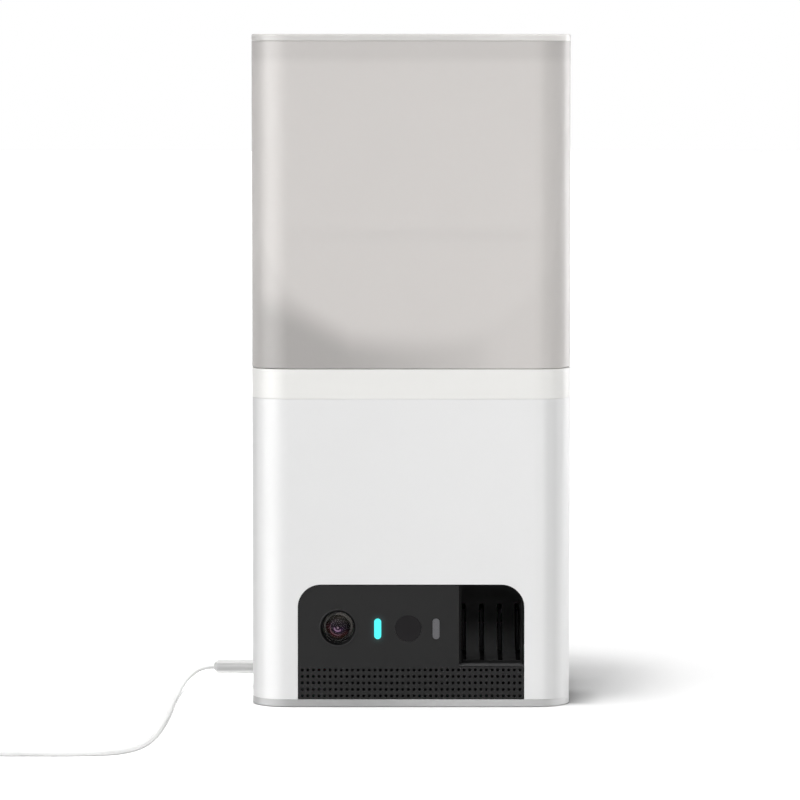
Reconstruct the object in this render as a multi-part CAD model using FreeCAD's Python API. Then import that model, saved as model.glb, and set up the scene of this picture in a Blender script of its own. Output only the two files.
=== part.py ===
import FreeCAD, Part
import math
import os

# Treat tossing pet camera: a free-standing square tower.
# Frame: millimetres, +Z up, origin at the middle of the footprint on the
# surface it stands on, front towards -Y, +X to the right of somebody who
# looks at the front.

os.makedirs("parts", exist_ok=True)
V = FreeCAD.Vector

# ---------------------------------------------------------------- dimensions
WIDTH = 127.0            # across the front
DEPTH = 130.0            # front to back
HEIGHT = 268.0           # floor to lid top
CORNER_R = 14.3          # vertical corners
HW, HD = WIDTH / 2, DEPTH / 2

FOOT_GAP = 0.2           # the feet lift the base this much
BASE_TOP = 3.06          # top of the base plate
HOUSING_TOP = 123.3      # top of the lower housing
COLLAR_BOTTOM = 123.35
COLLAR_TOP = 135.2       # the container stands here
HOPPER_BOTTOM = 135.4
HOPPER_TOP = 265.2
LID_BOTTOM = 265.3

HOUSING_WALL = 2.5
HOPPER_WALL = 2.2
SEAM_ROUND = 0.3         # soft edge at a seam that shows
SEAM_FINE = 0.12         # soft edge at a seam that hardly shows

# front panel
PANEL_HALF = 45.2        # aperture half width
PANEL_TOP = 49.2         # aperture top
PANEL_R = 9.2            # aperture top corners
PANEL_FIT = 0.12         # gap round the panel
PANEL_FACE_Y = -64.8
PANEL_THICK = 2.4
RECESS_X0 = 19.2         # treat outlet, left edge
RECESS_Z0 = 16.3         # treat outlet, lower edge

CAM_X, CAM_Z = -29.1, 31.9
SLIT1_X, SLIT2_X, SLIT_Z = -13.3, 10.0, 31.4
SLIT_W, SLIT_H = 2.7, 8.2
WINDOW_X, WINDOW_Z, WINDOW_R = -1.1, 31.6, 5.25

GRILLE_COLS, GRILLE_ROWS = 40, 5
GRILLE_X0, GRILLE_PITCH_X = -43.4, 2.228
GRILLE_Z0, GRILLE_PITCH_Z = 4.5, 2.6
GRILLE_HOLE_R = 0.6

# treat outlet
RAMP_Y, RAMP_Z, RAMP_R = -53.0, 39.0, 21.6
RAMP_THICK = 1.6
CHUTE_WALL = 0.9
SILL_Z = 17.4
SLOT_X = (21.3, 28.6, 35.9, 43.1)
SLOT_W = 1.9

# kicker
KICK_Y, KICK_Z = -36.0, 15.5
KICK_REACH = 21.0
KICK_REST_DEG = 68.0     # tine direction from +Y towards +Z, at rest
TINE_W = 1.3
SLOT_TOP = 37.6          # the tines pass the ramp below this
KICK_TEETH, LAUNCH_TEETH, KICK_MODULE = 24, 12, 0.75

# feeder
ROTOR_X, ROTOR_Y = 17.5, -10.5
POCKET_ORBIT = math.hypot(ROTOR_X, ROTOR_Y)
POCKET_R = 13.0
ROTOR_R = 35.0
ROTOR_Z0, ROTOR_Z1 = 106.4, 132.2
RING_TEETH, FEED_TEETH, FEED_MODULE = 72, 12, 1.0
RING_Z1 = 110.4
AXLE_R = 3.0
RUN_CLEAR = 0.05         # radial clearance of a running fit
DROP_X, DROP_Y = 2 * ROTOR_X, 2 * ROTOR_Y
DROP_HALF, DROP_CORNER = 13.6, 12.0
DECK_Z0, DECK_Z1 = 101.4, 103.8
CUP_FLOOR = 106.0
CUP_R, CUP_WALL, CUP_TOP = 38.0, 2.0, 132.8

# container floor
FUNNEL_RX, FUNNEL_RY = 62.5, 64.5
FUNNEL_LOW = 143.4
FUNNEL_WALL = 2.0
FUNNEL_RIM = 190.0
SPOUT_R = 15.0

# power lead
CORD_D = 2.0
PORT_Y, PORT_Z = -5.0, 8.4
PLUG_END_X = -80.9
PLUG_SHOULDER_X = -79.5
PLUG_HALF = 2.4          # half height of the overmould
COIL_X, COIL_Y = -190.0, -213.0
COIL_IN, COIL_OUT = 7.0, 17.0
COIL_Z0, COIL_Z1 = 0.6, 8.6

report_lines = []
NODES = {}


# ------------------------------------------------------------------- helpers
def polygon(points):
    pts = [V(*p) for p in points]
    return Part.Face(Part.makePolygon(pts + [pts[0]]))


def rr_wire(hw, hd, r, z, cx=0.0, cy=0.0):
    """Rounded rectangle in a horizontal plane."""
    k = r * math.sin(math.pi / 4)
    e = []
    corners = [(1, 1), (-1, 1), (-1, -1), (1, -1)]
    # each corner: start and end of its arc, counter-clockwise
    arcs = []
    for sx, sy in corners:
        px, py = cx + sx * (hw - r), cy + sy * (hd - r)
        if (sx, sy) == (1, 1):
            a, b = V(px + r, py, z), V(px, py + r, z)
        elif (sx, sy) == (-1, 1):
            a, b = V(px, py + r, z), V(px - r, py, z)
        elif (sx, sy) == (-1, -1):
            a, b = V(px - r, py, z), V(px, py - r, z)
        else:
            a, b = V(px, py - r, z), V(px + r, py, z)
        arcs.append((a, V(px + sx * k, py + sy * k, z), b))
    for i in range(4):
        a, m, b = arcs[i]
        e.append(Part.Arc(a, m, b).toShape())
        nxt = arcs[(i + 1) % 4][0]
        if (nxt - b).Length > 1e-6:
            e.append(Part.LineSegment(b, nxt).toShape())
    return Part.Wire(e)


def rr_prism(hw, hd, r, z0, z1, cx=0.0, cy=0.0):
    return Part.Face(rr_wire(hw, hd, r, z0, cx, cy)).extrude(V(0, 0, z1 - z0))


def body_prism(inset, z0, z1):
    return rr_prism(HW - inset, HD - inset, CORNER_R - inset, z0, z1)


def body_ring(inset_out, inset_in, z0, z1):
    return body_prism(inset_out, z0, z1).cut(body_prism(inset_in, z0 - 1, z1 + 1))


def box(x0, x1, y0, y1, z0, z1):
    return Part.makeBox(x1 - x0, y1 - y0, z1 - z0, V(x0, y0, z0))


def cyl_z(r, x, y, z0, z1):
    return Part.makeCylinder(r, z1 - z0, V(x, y, z0), V(0, 0, 1))


def cyl_y(r, x, z, y0, y1):
    return Part.makeCylinder(r, y1 - y0, V(x, y0, z), V(0, 1, 0))


def cyl_x(r, y, z, x0, x1):
    return Part.makeCylinder(r, x1 - x0, V(x0, y, z), V(1, 0, 0))


def stadium_y(w, h, cx, cz, y0, y1):
    """Upright slot shape, w wide and h tall, extruded along Y."""
    r = w / 2
    zc = h / 2 - r
    e = [
        Part.LineSegment(V(cx + r, y0, cz - zc), V(cx + r, y0, cz + zc)).toShape(),
        Part.Arc(V(cx + r, y0, cz + zc), V(cx, y0, cz + h / 2), V(cx - r, y0, cz + zc)).toShape(),
        Part.LineSegment(V(cx - r, y0, cz + zc), V(cx - r, y0, cz - zc)).toShape(),
        Part.Arc(V(cx - r, y0, cz - zc), V(cx, y0, cz - h / 2), V(cx + r, y0, cz - zc)).toShape(),
    ]
    return Part.Face(Part.Wire(e)).extrude(V(0, y1 - y0, 0))


def flat_stadium_y(w, h, cx, cz, y0, y1):
    """Lying slot shape, w wide and h tall with h < w, extruded along Y."""
    r = h / 2
    xc = w / 2 - r
    e = [
        Part.LineSegment(V(cx - xc, y0, cz - r), V(cx + xc, y0, cz - r)).toShape(),
        Part.Arc(V(cx + xc, y0, cz - r), V(cx + w / 2, y0, cz), V(cx + xc, y0, cz + r)).toShape(),
        Part.LineSegment(V(cx + xc, y0, cz + r), V(cx - xc, y0, cz + r)).toShape(),
        Part.Arc(V(cx - xc, y0, cz + r), V(cx - w / 2, y0, cz), V(cx - xc, y0, cz - r)).toShape(),
    ]
    return Part.Face(Part.Wire(e)).extrude(V(0, y1 - y0, 0))


def arch(x0, x1, z0, z1, rl, rr_, y0, y1):
    """Upright panel outline with rounded top corners, extruded along Y."""
    s = math.sin(math.pi / 4)
    e = []
    p = V(x0, y0, z0)
    q = V(x1, y0, z0)
    e.append(Part.LineSegment(p, q).toShape())
    if rr_ > 0:
        a, b = V(x1, y0, z1 - rr_), V(x1 - rr_, y0, z1)
        e.append(Part.LineSegment(q, a).toShape())
        e.append(Part.Arc(a, V(x1 - rr_ + rr_ * s, y0, z1 - rr_ + rr_ * s), b).toShape())
    else:
        b = V(x1, y0, z1)
        e.append(Part.LineSegment(q, b).toShape())
    if rl > 0:
        c, d = V(x0 + rl, y0, z1), V(x0, y0, z1 - rl)
        e.append(Part.LineSegment(b, c).toShape())
        e.append(Part.Arc(c, V(x0 + rl - rl * s, y0, z1 - rl + rl * s), d).toShape())
    else:
        d = V(x0, y0, z1)
        e.append(Part.LineSegment(b, d).toShape())
    e.append(Part.LineSegment(d, p).toShape())
    return Part.Face(Part.Wire(e)).extrude(V(0, y1 - y0, 0))


def outline_distance(x, y, hw, hd, r):
    qx, qy = abs(x) - (hw - r), abs(y) - (hd - r)
    return math.hypot(max(qx, 0), max(qy, 0)) + min(max(qx, qy), 0) - r


def soften(shape, z, radius, inset=0.0):
    """Round the outline's edge at height z."""
    picked = []
    for edge in shape.Edges:
        a, b = edge.FirstParameter, edge.LastParameter
        pts = [edge.valueAt(a + (b - a) * t) for t in (0.1, 0.5, 0.9)]
        if all(
            abs(p.z - z) < 1e-4
            and abs(outline_distance(p.x, p.y, HW - inset, HD - inset, CORNER_R - inset)) < 1e-3
            for p in pts
        ):
            picked.append(edge)
    return shape.makeFillet(radius, picked) if picked else shape


def revolve(points, origin, axis):
    """Turn a closed (radius, height) outline about axis through origin."""
    axis = V(*axis)
    side = V(0, 0, 1) if abs(axis.z) < 0.5 else V(1, 0, 0)
    o = V(*origin)
    pts = [o + side * r + axis * h for r, h in points]
    face = Part.Face(Part.makePolygon(pts + [pts[0]]))
    return face.revolve(o, axis, 360)


def gear(teeth, module, z0, z1, phase_deg=0.0, bore=0.0, backlash=0.14):
    """Spur gear about +Z at the origin, tooth 0 centred at phase_deg."""
    pa = math.radians(25)
    rp = teeth * module / 2
    rb = rp * math.cos(pa)
    ra = rp + 0.8 * module
    rf = rp - 1.05 * module

    def inv(a):
        return math.tan(a) - a

    half = math.pi / (2 * teeth) - backlash / (2 * rp)

    def width(r):
        r = max(r, rb)
        return half + inv(pa) - inv(math.acos(rb / r))

    radii = [max(rf, rb) + (ra - max(rf, rb)) * t for t in (0.0, 0.3, 0.65, 1.0)]
    pts = []
    for i in range(teeth):
        c = math.radians(phase_deg) + 2 * math.pi * i / teeth
        low = []
        if rf < rb:
            low.append((rf, width(rb)))
        low += [(r, width(r)) for r in radii]
        if rf >= rb:
            low[0] = (rf, width(rf))
        for r, w in low:
            pts.append((r * math.cos(c - w), r * math.sin(c - w), z0))
        for r, w in reversed(low):
            pts.append((r * math.cos(c + w), r * math.sin(c + w), z0))
    s = polygon(pts).extrude(V(0, 0, z1 - z0))
    if bore:
        s = s.cut(cyl_z(bore, 0, 0, z0 - 1, z1 + 1))
    return s


def moved_to_x(shape, x, y, z):
    """Lay a shape built about +Z along +X: X turns to Y, Y to Z, Z to X."""
    s = shape.copy()
    s.Placement = FreeCAD.Placement(
        V(x, y, z), FreeCAD.Rotation(V(0, 1, 0), V(0, 0, 1), V(1, 0, 0), "XYZ")
    ).multiply(s.Placement)
    return s


def one(shape):
    """Clean result of a boolean as a plain solid or compound."""
    solids = shape.Solids
    if len(solids) == 1:
        return solids[0]
    return Part.makeCompound(solids)


def tube(points, radius, name=None):
    """Straight runs joined by tangent arcs; each arc is as large as its two
    runs allow."""
    pts = [V(*p) for p in points]
    runs = [(b - a).Length for a, b in zip(pts, pts[1:])]
    edges = []
    start = pts[0]
    radii = []
    for i in range(1, len(pts) - 1):
        d0 = (pts[i] - pts[i - 1]).normalize()
        d1 = (pts[i + 1] - pts[i]).normalize()
        turn = math.acos(max(-1, min(1, d0.dot(d1))))
        cut = 0.45 * min(runs[i - 1], runs[i])
        r = cut / math.tan(turn / 2)
        radii.append((math.degrees(turn), r))
        a, b = pts[i] - d0 * cut, pts[i] + d1 * cut
        inward = (d1 - d0).normalize()
        centre = pts[i] + inward * math.hypot(cut, r)
        mid = centre - inward * r
        edges.append(Part.LineSegment(start, a).toShape())
        edges.append(Part.Arc(a, mid, b).toShape())
        start = b
    edges.append(Part.LineSegment(start, pts[-1]).toShape())
    path = Part.Wire(edges)
    ring = Part.Wire([Part.makeCircle(radius, pts[0], (pts[1] - pts[0]).normalize())])
    solid = path.makePipeShell([ring], True, False)
    if solid.ShapeType != "Solid":
        solid = Part.Solid(solid.Shells[0]) if solid.Shells else solid
    if solid.Volume < 0:
        solid.reverse()
    if name:
        want = math.pi * radius**2 * path.Length
        report_lines.append(
            f"{name}: length {path.Length:.1f} mm, volume {solid.Volume:.1f} mm3"
            f" against {want:.1f} mm3, valid {solid.isValid()}"
        )
        report_lines.append(
            f"{name}: " + ", ".join(f"turn {t:.0f} deg radius {r:.1f}" for t, r in radii)
        )
        report_lines.append(f"{name}: runs " + ", ".join(f"{r:.1f}" for r in runs))
    return solid


def coil_spring(mean_r, wire_r, length, turns):
    """Helical spring about +Z from z = 0 to z = length, its wire swept along
    one half turn after another."""
    height = length - 2 * wire_r
    pitch = height / turns
    halves = []
    for i in range(int(round(turns * 2))):
        h = Part.makeHelix(pitch, pitch / 2, mean_r)
        h.rotate(V(0, 0, 0), V(0, 0, 1), 180 * i)
        h.translate(V(0, 0, wire_r + pitch / 2 * i))
        halves += h.Edges
    first = halves[0]
    u = first.FirstParameter
    ring = Part.Wire([Part.makeCircle(wire_r, first.valueAt(u), first.tangentAt(u))])
    s = Part.Wire(halves).makePipeShell([ring], True, True)
    if s.ShapeType != "Solid":
        s = Part.Solid(s.Shells[0])
    if s.Volume < 0:
        s.reverse()
    return s


def screw(head_r, head_h, shank_r, length, at, axis):
    """Pan head screw; `at` is the seat of the head, the shank points along
    axis."""
    a = V(*axis)
    o = V(*at)
    head = Part.makeCylinder(head_r, head_h, o - a * head_h, a)
    rim = [
        e
        for e in head.Edges
        if abs((e.CenterOfMass - o).dot(a) + head_h) < 1e-4 and e.Length > 6.2 * head_r * 0.9
    ]
    if rim:
        head = head.makeFillet(min(0.35, head_h * 0.35), rim)
    shank = Part.makeCylinder(shank_r, length, o, a)
    s = head.fuse(shank)
    # cross recess
    side = V(0, 0, 1) if abs(a.z) < 0.5 else V(1, 0, 0)
    other = a.cross(side)
    top = o - a * head_h
    for u, w in ((side, other), (other, side)):
        half, thin, deep = head_r * 0.55, head_r * 0.12, head_h * 0.55
        base = top - u * half - w * thin - a * 0.1
        f = Part.Face(
            Part.makePolygon(
                [base, base + u * 2 * half, base + u * 2 * half + w * 2 * thin, base + w * 2 * thin, base]
            )
        )
        s = s.cut(f.extrude(a * (deep + 0.1)))
    return one(s)


def node(name, *shapes):
    solids = []
    for s in shapes:
        solids += s.Solids
    NODES[name] = solids


# ------------------------------------------------------------------ the base
BOSS = [(sx * 54.8, sy * 56.3) for sx in (-1, 1) for sy in (-1, 1)]
BOSS_R = 4.2
PADS = [(sx * 45.0, sy * 46.5) for sx in (-1, 1) for sy in (-1, 1)]
PAD_R, PAD_DEEP = 6.0, 1.2

base = body_prism(0, FOOT_GAP, BASE_TOP)
base = soften(base, FOOT_GAP, 0.2)
base = soften(base, BASE_TOP, 0.2)
lip = body_ring(2.8, 4.4, BASE_TOP - 0.5, 6.0)
lip = lip.cut(box(-48.2, 48.2, -70, -55, 0, 20))
for x, y in BOSS:
    lip = lip.cut(cyl_z(BOSS_R + 0.4, x, y, 0, 20))
lip = lip.cut(box(-70, -50, PORT_Y - 8, PORT_Y + 8, 0, 20))
base = base.fuse(lip)
for x, y in BOSS:
    base = base.cut(cyl_z(1.6, x, y, -1, 5)).cut(cyl_z(3.1, x, y, -1, 1.9))
for x, y in PADS:
    base = base.cut(cyl_z(PAD_R + 0.1, x, y, -1, FOOT_GAP + PAD_DEEP))
# seats for the socket board and the launcher bracket's screw points
for x, y in ((-54.0, -15.0), (-54.0, 5.0), (-43.0, -15.0), (-43.0, 5.0)):
    base = base.fuse(cyl_z(2.4, x, y, BASE_TOP - 0.5, 5.2))
node("base_plate", one(base))

pads = []
for x, y in PADS:
    p = cyl_z(PAD_R, x, y, 0, FOOT_GAP + PAD_DEEP)
    rim = [e for e in p.Edges if abs(e.CenterOfMass.z) < 1e-6 and len(e.Vertexes) == 1]
    pads.append(p.makeFillet(0.25, rim) if rim else p)
node("foot_pads", *pads)
node("base_screws", *[screw(2.8, 1.3, 1.25, 12.0, (x, y, 1.9), (0, 0, 1)) for x, y in BOSS])

# ------------------------------------------------------------- lower housing
BUTTON_X, BUTTON_Z = 30.0, 34.0
BOARD_POSTS = [(-40.0, 25.0), (40.0, 25.0), (-40.0, 85.0), (40.0, 85.0)]
EAR_R = 2.6
EARS = [(-30.0, 53.2), (6.0, 53.2), (-47.9, 14.0), (47.9, 10.0)]

hs = body_prism(0, BASE_TOP, HOUSING_TOP)
hs = soften(hs, HOUSING_TOP, SEAM_FINE)
hs = soften(hs, BASE_TOP, 0.15)
hs = hs.cut(body_prism(HOUSING_WALL, BASE_TOP - 1, HOUSING_TOP + 1))
for x, y in BOSS:
    boss = cyl_z(BOSS_R, x, y, BASE_TOP + 0.04, DECK_Z0)
    hs = hs.fuse(boss.common(body_prism(1.0, 0, 200)))
for x, z in BOARD_POSTS:
    hs = hs.fuse(cyl_y(3.0, x, z, 53.6, HD - 1.0))
for x, y in BOSS:
    hs = hs.cut(cyl_z(1.25, x, y, BASE_TOP - 1, 16)).cut(cyl_z(1.1, x, y, 92, DECK_Z0 + 1))
for x, z in BOARD_POSTS:
    hs = hs.cut(cyl_y(1.1, x, z, 53.0, 60.0))
hs = hs.cut(arch(-PANEL_HALF, PANEL_HALF, 0, PANEL_TOP, PANEL_R, PANEL_R, -70, -60))
for x, z in EARS:
    hs = hs.cut(cyl_y(1.0, x, z, -64.3, -60))
# lead port in the left wall
port = flat_stadium_y(9.4, 3.7, 0, 0, -10, 10)
port.rotate(V(0, 0, 0), V(0, 0, 1), 90)
port.translate(V(-HW, PORT_Y, PORT_Z))
hs = hs.cut(port.common(box(-70, -58, -20, 20, 0, 20)))
hs = hs.cut(cyl_y(3.3, BUTTON_X, BUTTON_Z, 58, 70))
node("lower_housing", one(hs))

# ---------------------------------------------------------------- collar cap
cc = body_prism(0, COLLAR_BOTTOM, COLLAR_TOP)
cc = soften(cc, COLLAR_TOP, SEAM_ROUND)
cc = soften(cc, COLLAR_BOTTOM, SEAM_FINE)
cc = cc.fuse(body_prism(2.7, 118.0, COLLAR_BOTTOM + 1))
cc = cc.cut(body_prism(4.5, 100, 133.2))
cc = cc.cut(cyl_z(SPOUT_R + 2.0 + 1.2, 0, 0, 120, 140))
rim = body_ring(2.5, 4.1, COLLAR_TOP - 0.5, 138.6)
cc = cc.fuse(rim)
node("collar_cap", one(cc))

# --------------------------------------------------------------- front bezel
F = PANEL_FIT
bz = arch(-PANEL_HALF + F, PANEL_HALF - F, BASE_TOP + 0.06, PANEL_TOP - F, PANEL_R - F, PANEL_R - F,
          PANEL_FACE_Y, PANEL_FACE_Y + PANEL_THICK)
# soft front edge round the outline
front_edges = [
    e
    for e in bz.Edges
    if all(
        abs(e.valueAt(e.FirstParameter + (e.LastParameter - e.FirstParameter) * t).y - PANEL_FACE_Y) < 1e-4
        for t in (0.1, 0.5, 0.9)
    )
]
bz = bz.makeFillet(0.3, front_edges)
bz = bz.cut(box(RECESS_X0 - 0.05, 60, -70, -60, RECESS_Z0 - 0.1, 60))
# rear flange, open at the foot and at the outlet
fl = arch(-PANEL_HALF - 2.5, PANEL_HALF + 2.5, BASE_TOP + 0.06, PANEL_TOP + 2.5, PANEL_R + 2, PANEL_R + 2, -62.4, -61.0)
fl = fl.cut(arch(-44.3, 44.3, 0, 48.3, 8.3, 8.3, -70, -60))
fl = fl.cut(box(RECESS_X0 - 1.2, 60, -70, -60, RECESS_Z0 - 0.1, 60))
for x, z in EARS:
    fl = fl.fuse(cyl_y(EAR_R, x, z, -62.4, -61.0))
bz = bz.fuse(fl)
for x, z in EARS:
    bz = bz.cut(cyl_y(1.05, x, z, -63.0, -60))
# posts for the two small boards
CAM_POSTS = [(CAM_X - 7.6, CAM_Z), (CAM_X + 7.6, CAM_Z)]
BOARD2_POSTS = [(-16.5, 22.0), (14.0, 42.0)]
for x, z in CAM_POSTS:
    bz = bz.fuse(cyl_y(1.6, x, z, -63.0, -51.8))
for x, z in BOARD2_POSTS:
    bz = bz.fuse(cyl_y(2.0, x, z, -63.0, -58.0))
for x, z in CAM_POSTS:
    bz = bz.cut(cyl_y(0.8, x, z, -58.0, -50))
for x, z in BOARD2_POSTS:
    bz = bz.cut(cyl_y(0.8, x, z, -61.5, -50))
bz = bz.cut(cyl_y(7.05, CAM_X, CAM_Z, -70, -60.5))
for x in (SLIT1_X, SLIT2_X):
    bz = bz.cut(stadium_y(SLIT_W + 0.1, SLIT_H + 0.1, x, SLIT_Z, -70, -60))
bz = bz.cut(cyl_y(WINDOW_R + 0.06, WINDOW_X, WINDOW_Z, -70, -60))
holes = [
    cyl_y(GRILLE_HOLE_R, GRILLE_X0 + GRILLE_PITCH_X * i, GRILLE_Z0 + GRILLE_PITCH_Z * j, -66, -61.9)
    for i in range(GRILLE_COLS)
    for j in range(GRILLE_ROWS)
]
bz = bz.cut(Part.makeCompound(holes))
node("front_bezel", one(bz))

# ------------------------------------------------------------ camera pieces
# trim ring: a bevelled lip that lies on the panel and a cone that runs down
# to the glass
node("camera_ring", revolve(
    [(6.95, 4.0), (6.95, 0.08), (7.6, 0.08), (7.6, 0.0), (7.3, -0.25), (7.05, -0.25),
     (6.25, 0.65), (6.25, 4.0)],
    (CAM_X, -64.9, CAM_Z), (0, 1, 0)))
node("camera_cover_glass", cyl_y(6.2, CAM_X, CAM_Z, -64.1, -63.4))
barrel = revolve(
    [(6.1, 1.1), (6.1, 1.8), (5.65, 1.8), (5.65, 11.3), (3.2, 11.3), (3.2, 6.0), (4.9, 6.0),
     (4.9, 0.3), (5.1, 0.0), (5.25, 0.0)],
    (CAM_X, -63.2, CAM_Z), (0, 1, 0))
node("camera_barrel", barrel)
# plano-convex front element: spherical front of radius 8
LENS_R = 4.85
sag0 = 8.0 - math.sqrt(8.0**2 - LENS_R**2)
lens_prof = [V(CAM_X, -63.2 + 5.2, CAM_Z), V(CAM_X, -63.2 + 5.2, CAM_Z + LENS_R),
             V(CAM_X, -63.2 + 1.4 + sag0, CAM_Z + LENS_R)]
apex = V(CAM_X, -63.2 + 1.4, CAM_Z)
mid_r = 2.4
mid = V(CAM_X, -63.2 + 1.4 + 8.0 - math.sqrt(64 - mid_r**2), CAM_Z + mid_r)
wire = Part.Wire([
    Part.LineSegment(lens_prof[0], lens_prof[1]).toShape(),
    Part.LineSegment(lens_prof[1], lens_prof[2]).toShape(),
    Part.Arc(lens_prof[2], mid, apex).toShape(),
    Part.LineSegment(apex, lens_prof[0]).toShape(),
])
node("camera_lens", Part.Face(wire).revolve(V(CAM_X, 0, CAM_Z), V(0, 1, 0), 360))
sb = box(CAM_X - 9.6, CAM_X + 9.6, -51.8, -50.6, CAM_Z - 7.0, CAM_Z + 7.0)
sb = sb.fuse(box(CAM_X - 3.0, CAM_X + 3.0, -52.9, -51.8, CAM_Z - 2.6, CAM_Z + 2.6).common(
    cyl_y(3.1, CAM_X, CAM_Z, -53, -51)))
sb = sb.fuse(box(CAM_X - 4.0, CAM_X + 4.0, -50.6, -49.2, CAM_Z - 6.4, CAM_Z - 2.4))
for x, z in CAM_POSTS:
    sb = sb.cut(cyl_y(0.85, x, z, -55, -50))
node("camera_sensor_board", one(sb))

# ----------------------------------------------- lights, window, front board
for nm, x in (("status_light_guide", SLIT1_X), ("second_light_guide", SLIT2_X)):
    g = stadium_y(SLIT_W, SLIT_H, x, SLIT_Z, PANEL_FACE_Y - 0.02, -60.3)
    g = g.fuse(stadium_y(SLIT_W + 1.6, SLIT_H + 1.6, x, SLIT_Z, -62.3, -60.3))
    node(nm, one(g))
w = cyl_y(WINDOW_R, WINDOW_X, WINDOW_Z, PANEL_FACE_Y + 0.03, -60.9)
w = w.fuse(cyl_y(WINDOW_R + 1.0, WINDOW_X, WINDOW_Z, -62.3, -60.9))
node("infrared_window", one(w))
fb = box(-18.6, 16.6, -58.0, -56.6, 19.5, 45.0)
for x, z in BOARD2_POSTS:
    fb = fb.cut(cyl_y(0.85, x, z, -60, -50))
node("front_board", one(fb))
leds = [box(x - 1.2, x + 1.2, -59.0, -58.0, SLIT_Z - 1.6, SLIT_Z + 1.6) for x in (SLIT1_X, SLIT2_X)]
leds += [
    cyl_y(1.2, WINDOW_X + dx, WINDOW_Z + dz, -60.4, -58.0)
    for dx, dz in ((-2.1, -2.1), (2.1, -2.1), (-2.1, 2.1), (2.1, 2.1))
]
node("front_leds", *leds)

# ---------------------------------------------------------------- speaker
SPK_X, SPK_Z = -14.0, 9.9
gk = flat_stadium_y(42, 12.4, SPK_X, SPK_Z, -62.4, -60.4).cut(
    flat_stadium_y(38, 9.0, SPK_X, SPK_Z, -63, -60))
node("speaker_gasket", one(gk))
spk = flat_stadium_y(42, 12.4, SPK_X, SPK_Z, -60.4, -57.6)
spk = spk.cut(flat_stadium_y(38, 9.0, SPK_X, SPK_Z, -61, -59.4))
spk = spk.fuse(flat_stadium_y(30, 5.0, SPK_X, SPK_Z, -60.2, -59.0))
spk = spk.fuse(box(SPK_X - 11, SPK_X + 11, -57.7, -50.5, SPK_Z - 5.0, SPK_Z + 5.0))
node("speaker_driver", one(spk))

# ------------------------------------------------------------- treat chute
C = CHUTE_WALL
x0, x1 = RECESS_X0 + 0.05, PANEL_HALF - F
xi0, xi1 = x0 + C, x1 - C
ztop = PANEL_TOP - F
outer = arch(x0, x1, RECESS_Z0 + 0.1, ztop, 0.0, PANEL_R - F, -64.8, RAMP_Y + RAMP_R + RAMP_THICK)
# the liner squares up behind the mouth so that the duct can stand on it
outer = outer.fuse(box(x1 - 12, x1, -61.5, RAMP_Y + RAMP_R + RAMP_THICK, 30, ztop))
inner = arch(xi0, xi1, SILL_Z, ztop - C, 0.0, PANEL_R - F - C, -70, RAMP_Y)
inner = inner.fuse(box(xi0, xi1, -58.0, RAMP_Y, SILL_Z, ztop + 1))
s45 = math.sin(math.pi / 4)
ramp_wire = Part.Wire([
    Part.LineSegment(V(xi0, RAMP_Y - 0.01, RAMP_Z - RAMP_R), V(xi0, RAMP_Y, RAMP_Z - RAMP_R)).toShape(),
    Part.Arc(V(xi0, RAMP_Y, RAMP_Z - RAMP_R), V(xi0, RAMP_Y + RAMP_R * s45, RAMP_Z - RAMP_R * s45),
             V(xi0, RAMP_Y + RAMP_R, RAMP_Z)).toShape(),
    Part.LineSegment(V(xi0, RAMP_Y + RAMP_R, RAMP_Z), V(xi0, RAMP_Y + RAMP_R, ztop + 1)).toShape(),
    Part.LineSegment(V(xi0, RAMP_Y + RAMP_R, ztop + 1), V(xi0, RAMP_Y - 0.01, ztop + 1)).toShape(),
    Part.LineSegment(V(xi0, RAMP_Y - 0.01, ztop + 1), V(xi0, RAMP_Y - 0.01, RAMP_Z - RAMP_R)).toShape(),
])
hollow = Part.Face(ramp_wire).extrude(V(xi1 - xi0, 0, 0))
chute = outer.cut(inner).cut(hollow)
# nothing below the ramp's back surface
RO = RAMP_R + RAMP_THICK
under = box(x0 - 1, x1 + 1, RAMP_Y, RAMP_Y + RO + 1, 0, RAMP_Z).cut(
    cyl_x(RO, RAMP_Y, RAMP_Z, x0 - 2, x1 + 2))
chute = chute.cut(under)
for sx in SLOT_X:
    chute = chute.cut(box(sx - SLOT_W / 2, sx + SLOT_W / 2, RAMP_Y - 0.4, -28, 12, SLOT_TOP))
# bright sloping front edge of the sill
bevel = polygon([(x0 - 1, -65.0, SILL_Z - 0.75), (x0 - 1, -65.0, SILL_Z + 0.05), (x0 - 1, -64.0, SILL_Z + 0.05)])
chute = chute.cut(bevel.extrude(V(x1 - x0 + 2, 0, 0)))
# lugs that sit between the bracket's cheeks
chute = chute.fuse(box(17.2, x0 + 0.3, -47, -41, 23, 30))
chute = chute.fuse(box(x1 - 0.3, 47.6, -47, -41, 23, 30))
chute = chute.cut(cyl_x(0.8, -44, 26.5, 10, 19.3)).cut(cyl_x(0.8, -44, 26.5, x1, 60))
node("treat_chute", one(chute))

# ---------------------------------------------------------------- drop duct
def duct_solid(grow):
    top = rr_wire(DROP_HALF + grow, DROP_HALF + grow, DROP_CORNER + grow * 0.5, DECK_Z0, DROP_X, DROP_Y)
    cx, cy = (xi0 + xi1) / 2, (-58.0 + RAMP_Y + RAMP_R) / 2
    hx, hy = (xi1 - xi0) / 2, (RAMP_Y + RAMP_R + 58.0) / 2
    low = rr_wire(hx + grow, hy + grow, 4.0 + grow * 0.5, ztop + 0.1, cx, cy)
    return Part.makeLoft([low, top], True, True)


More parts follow.
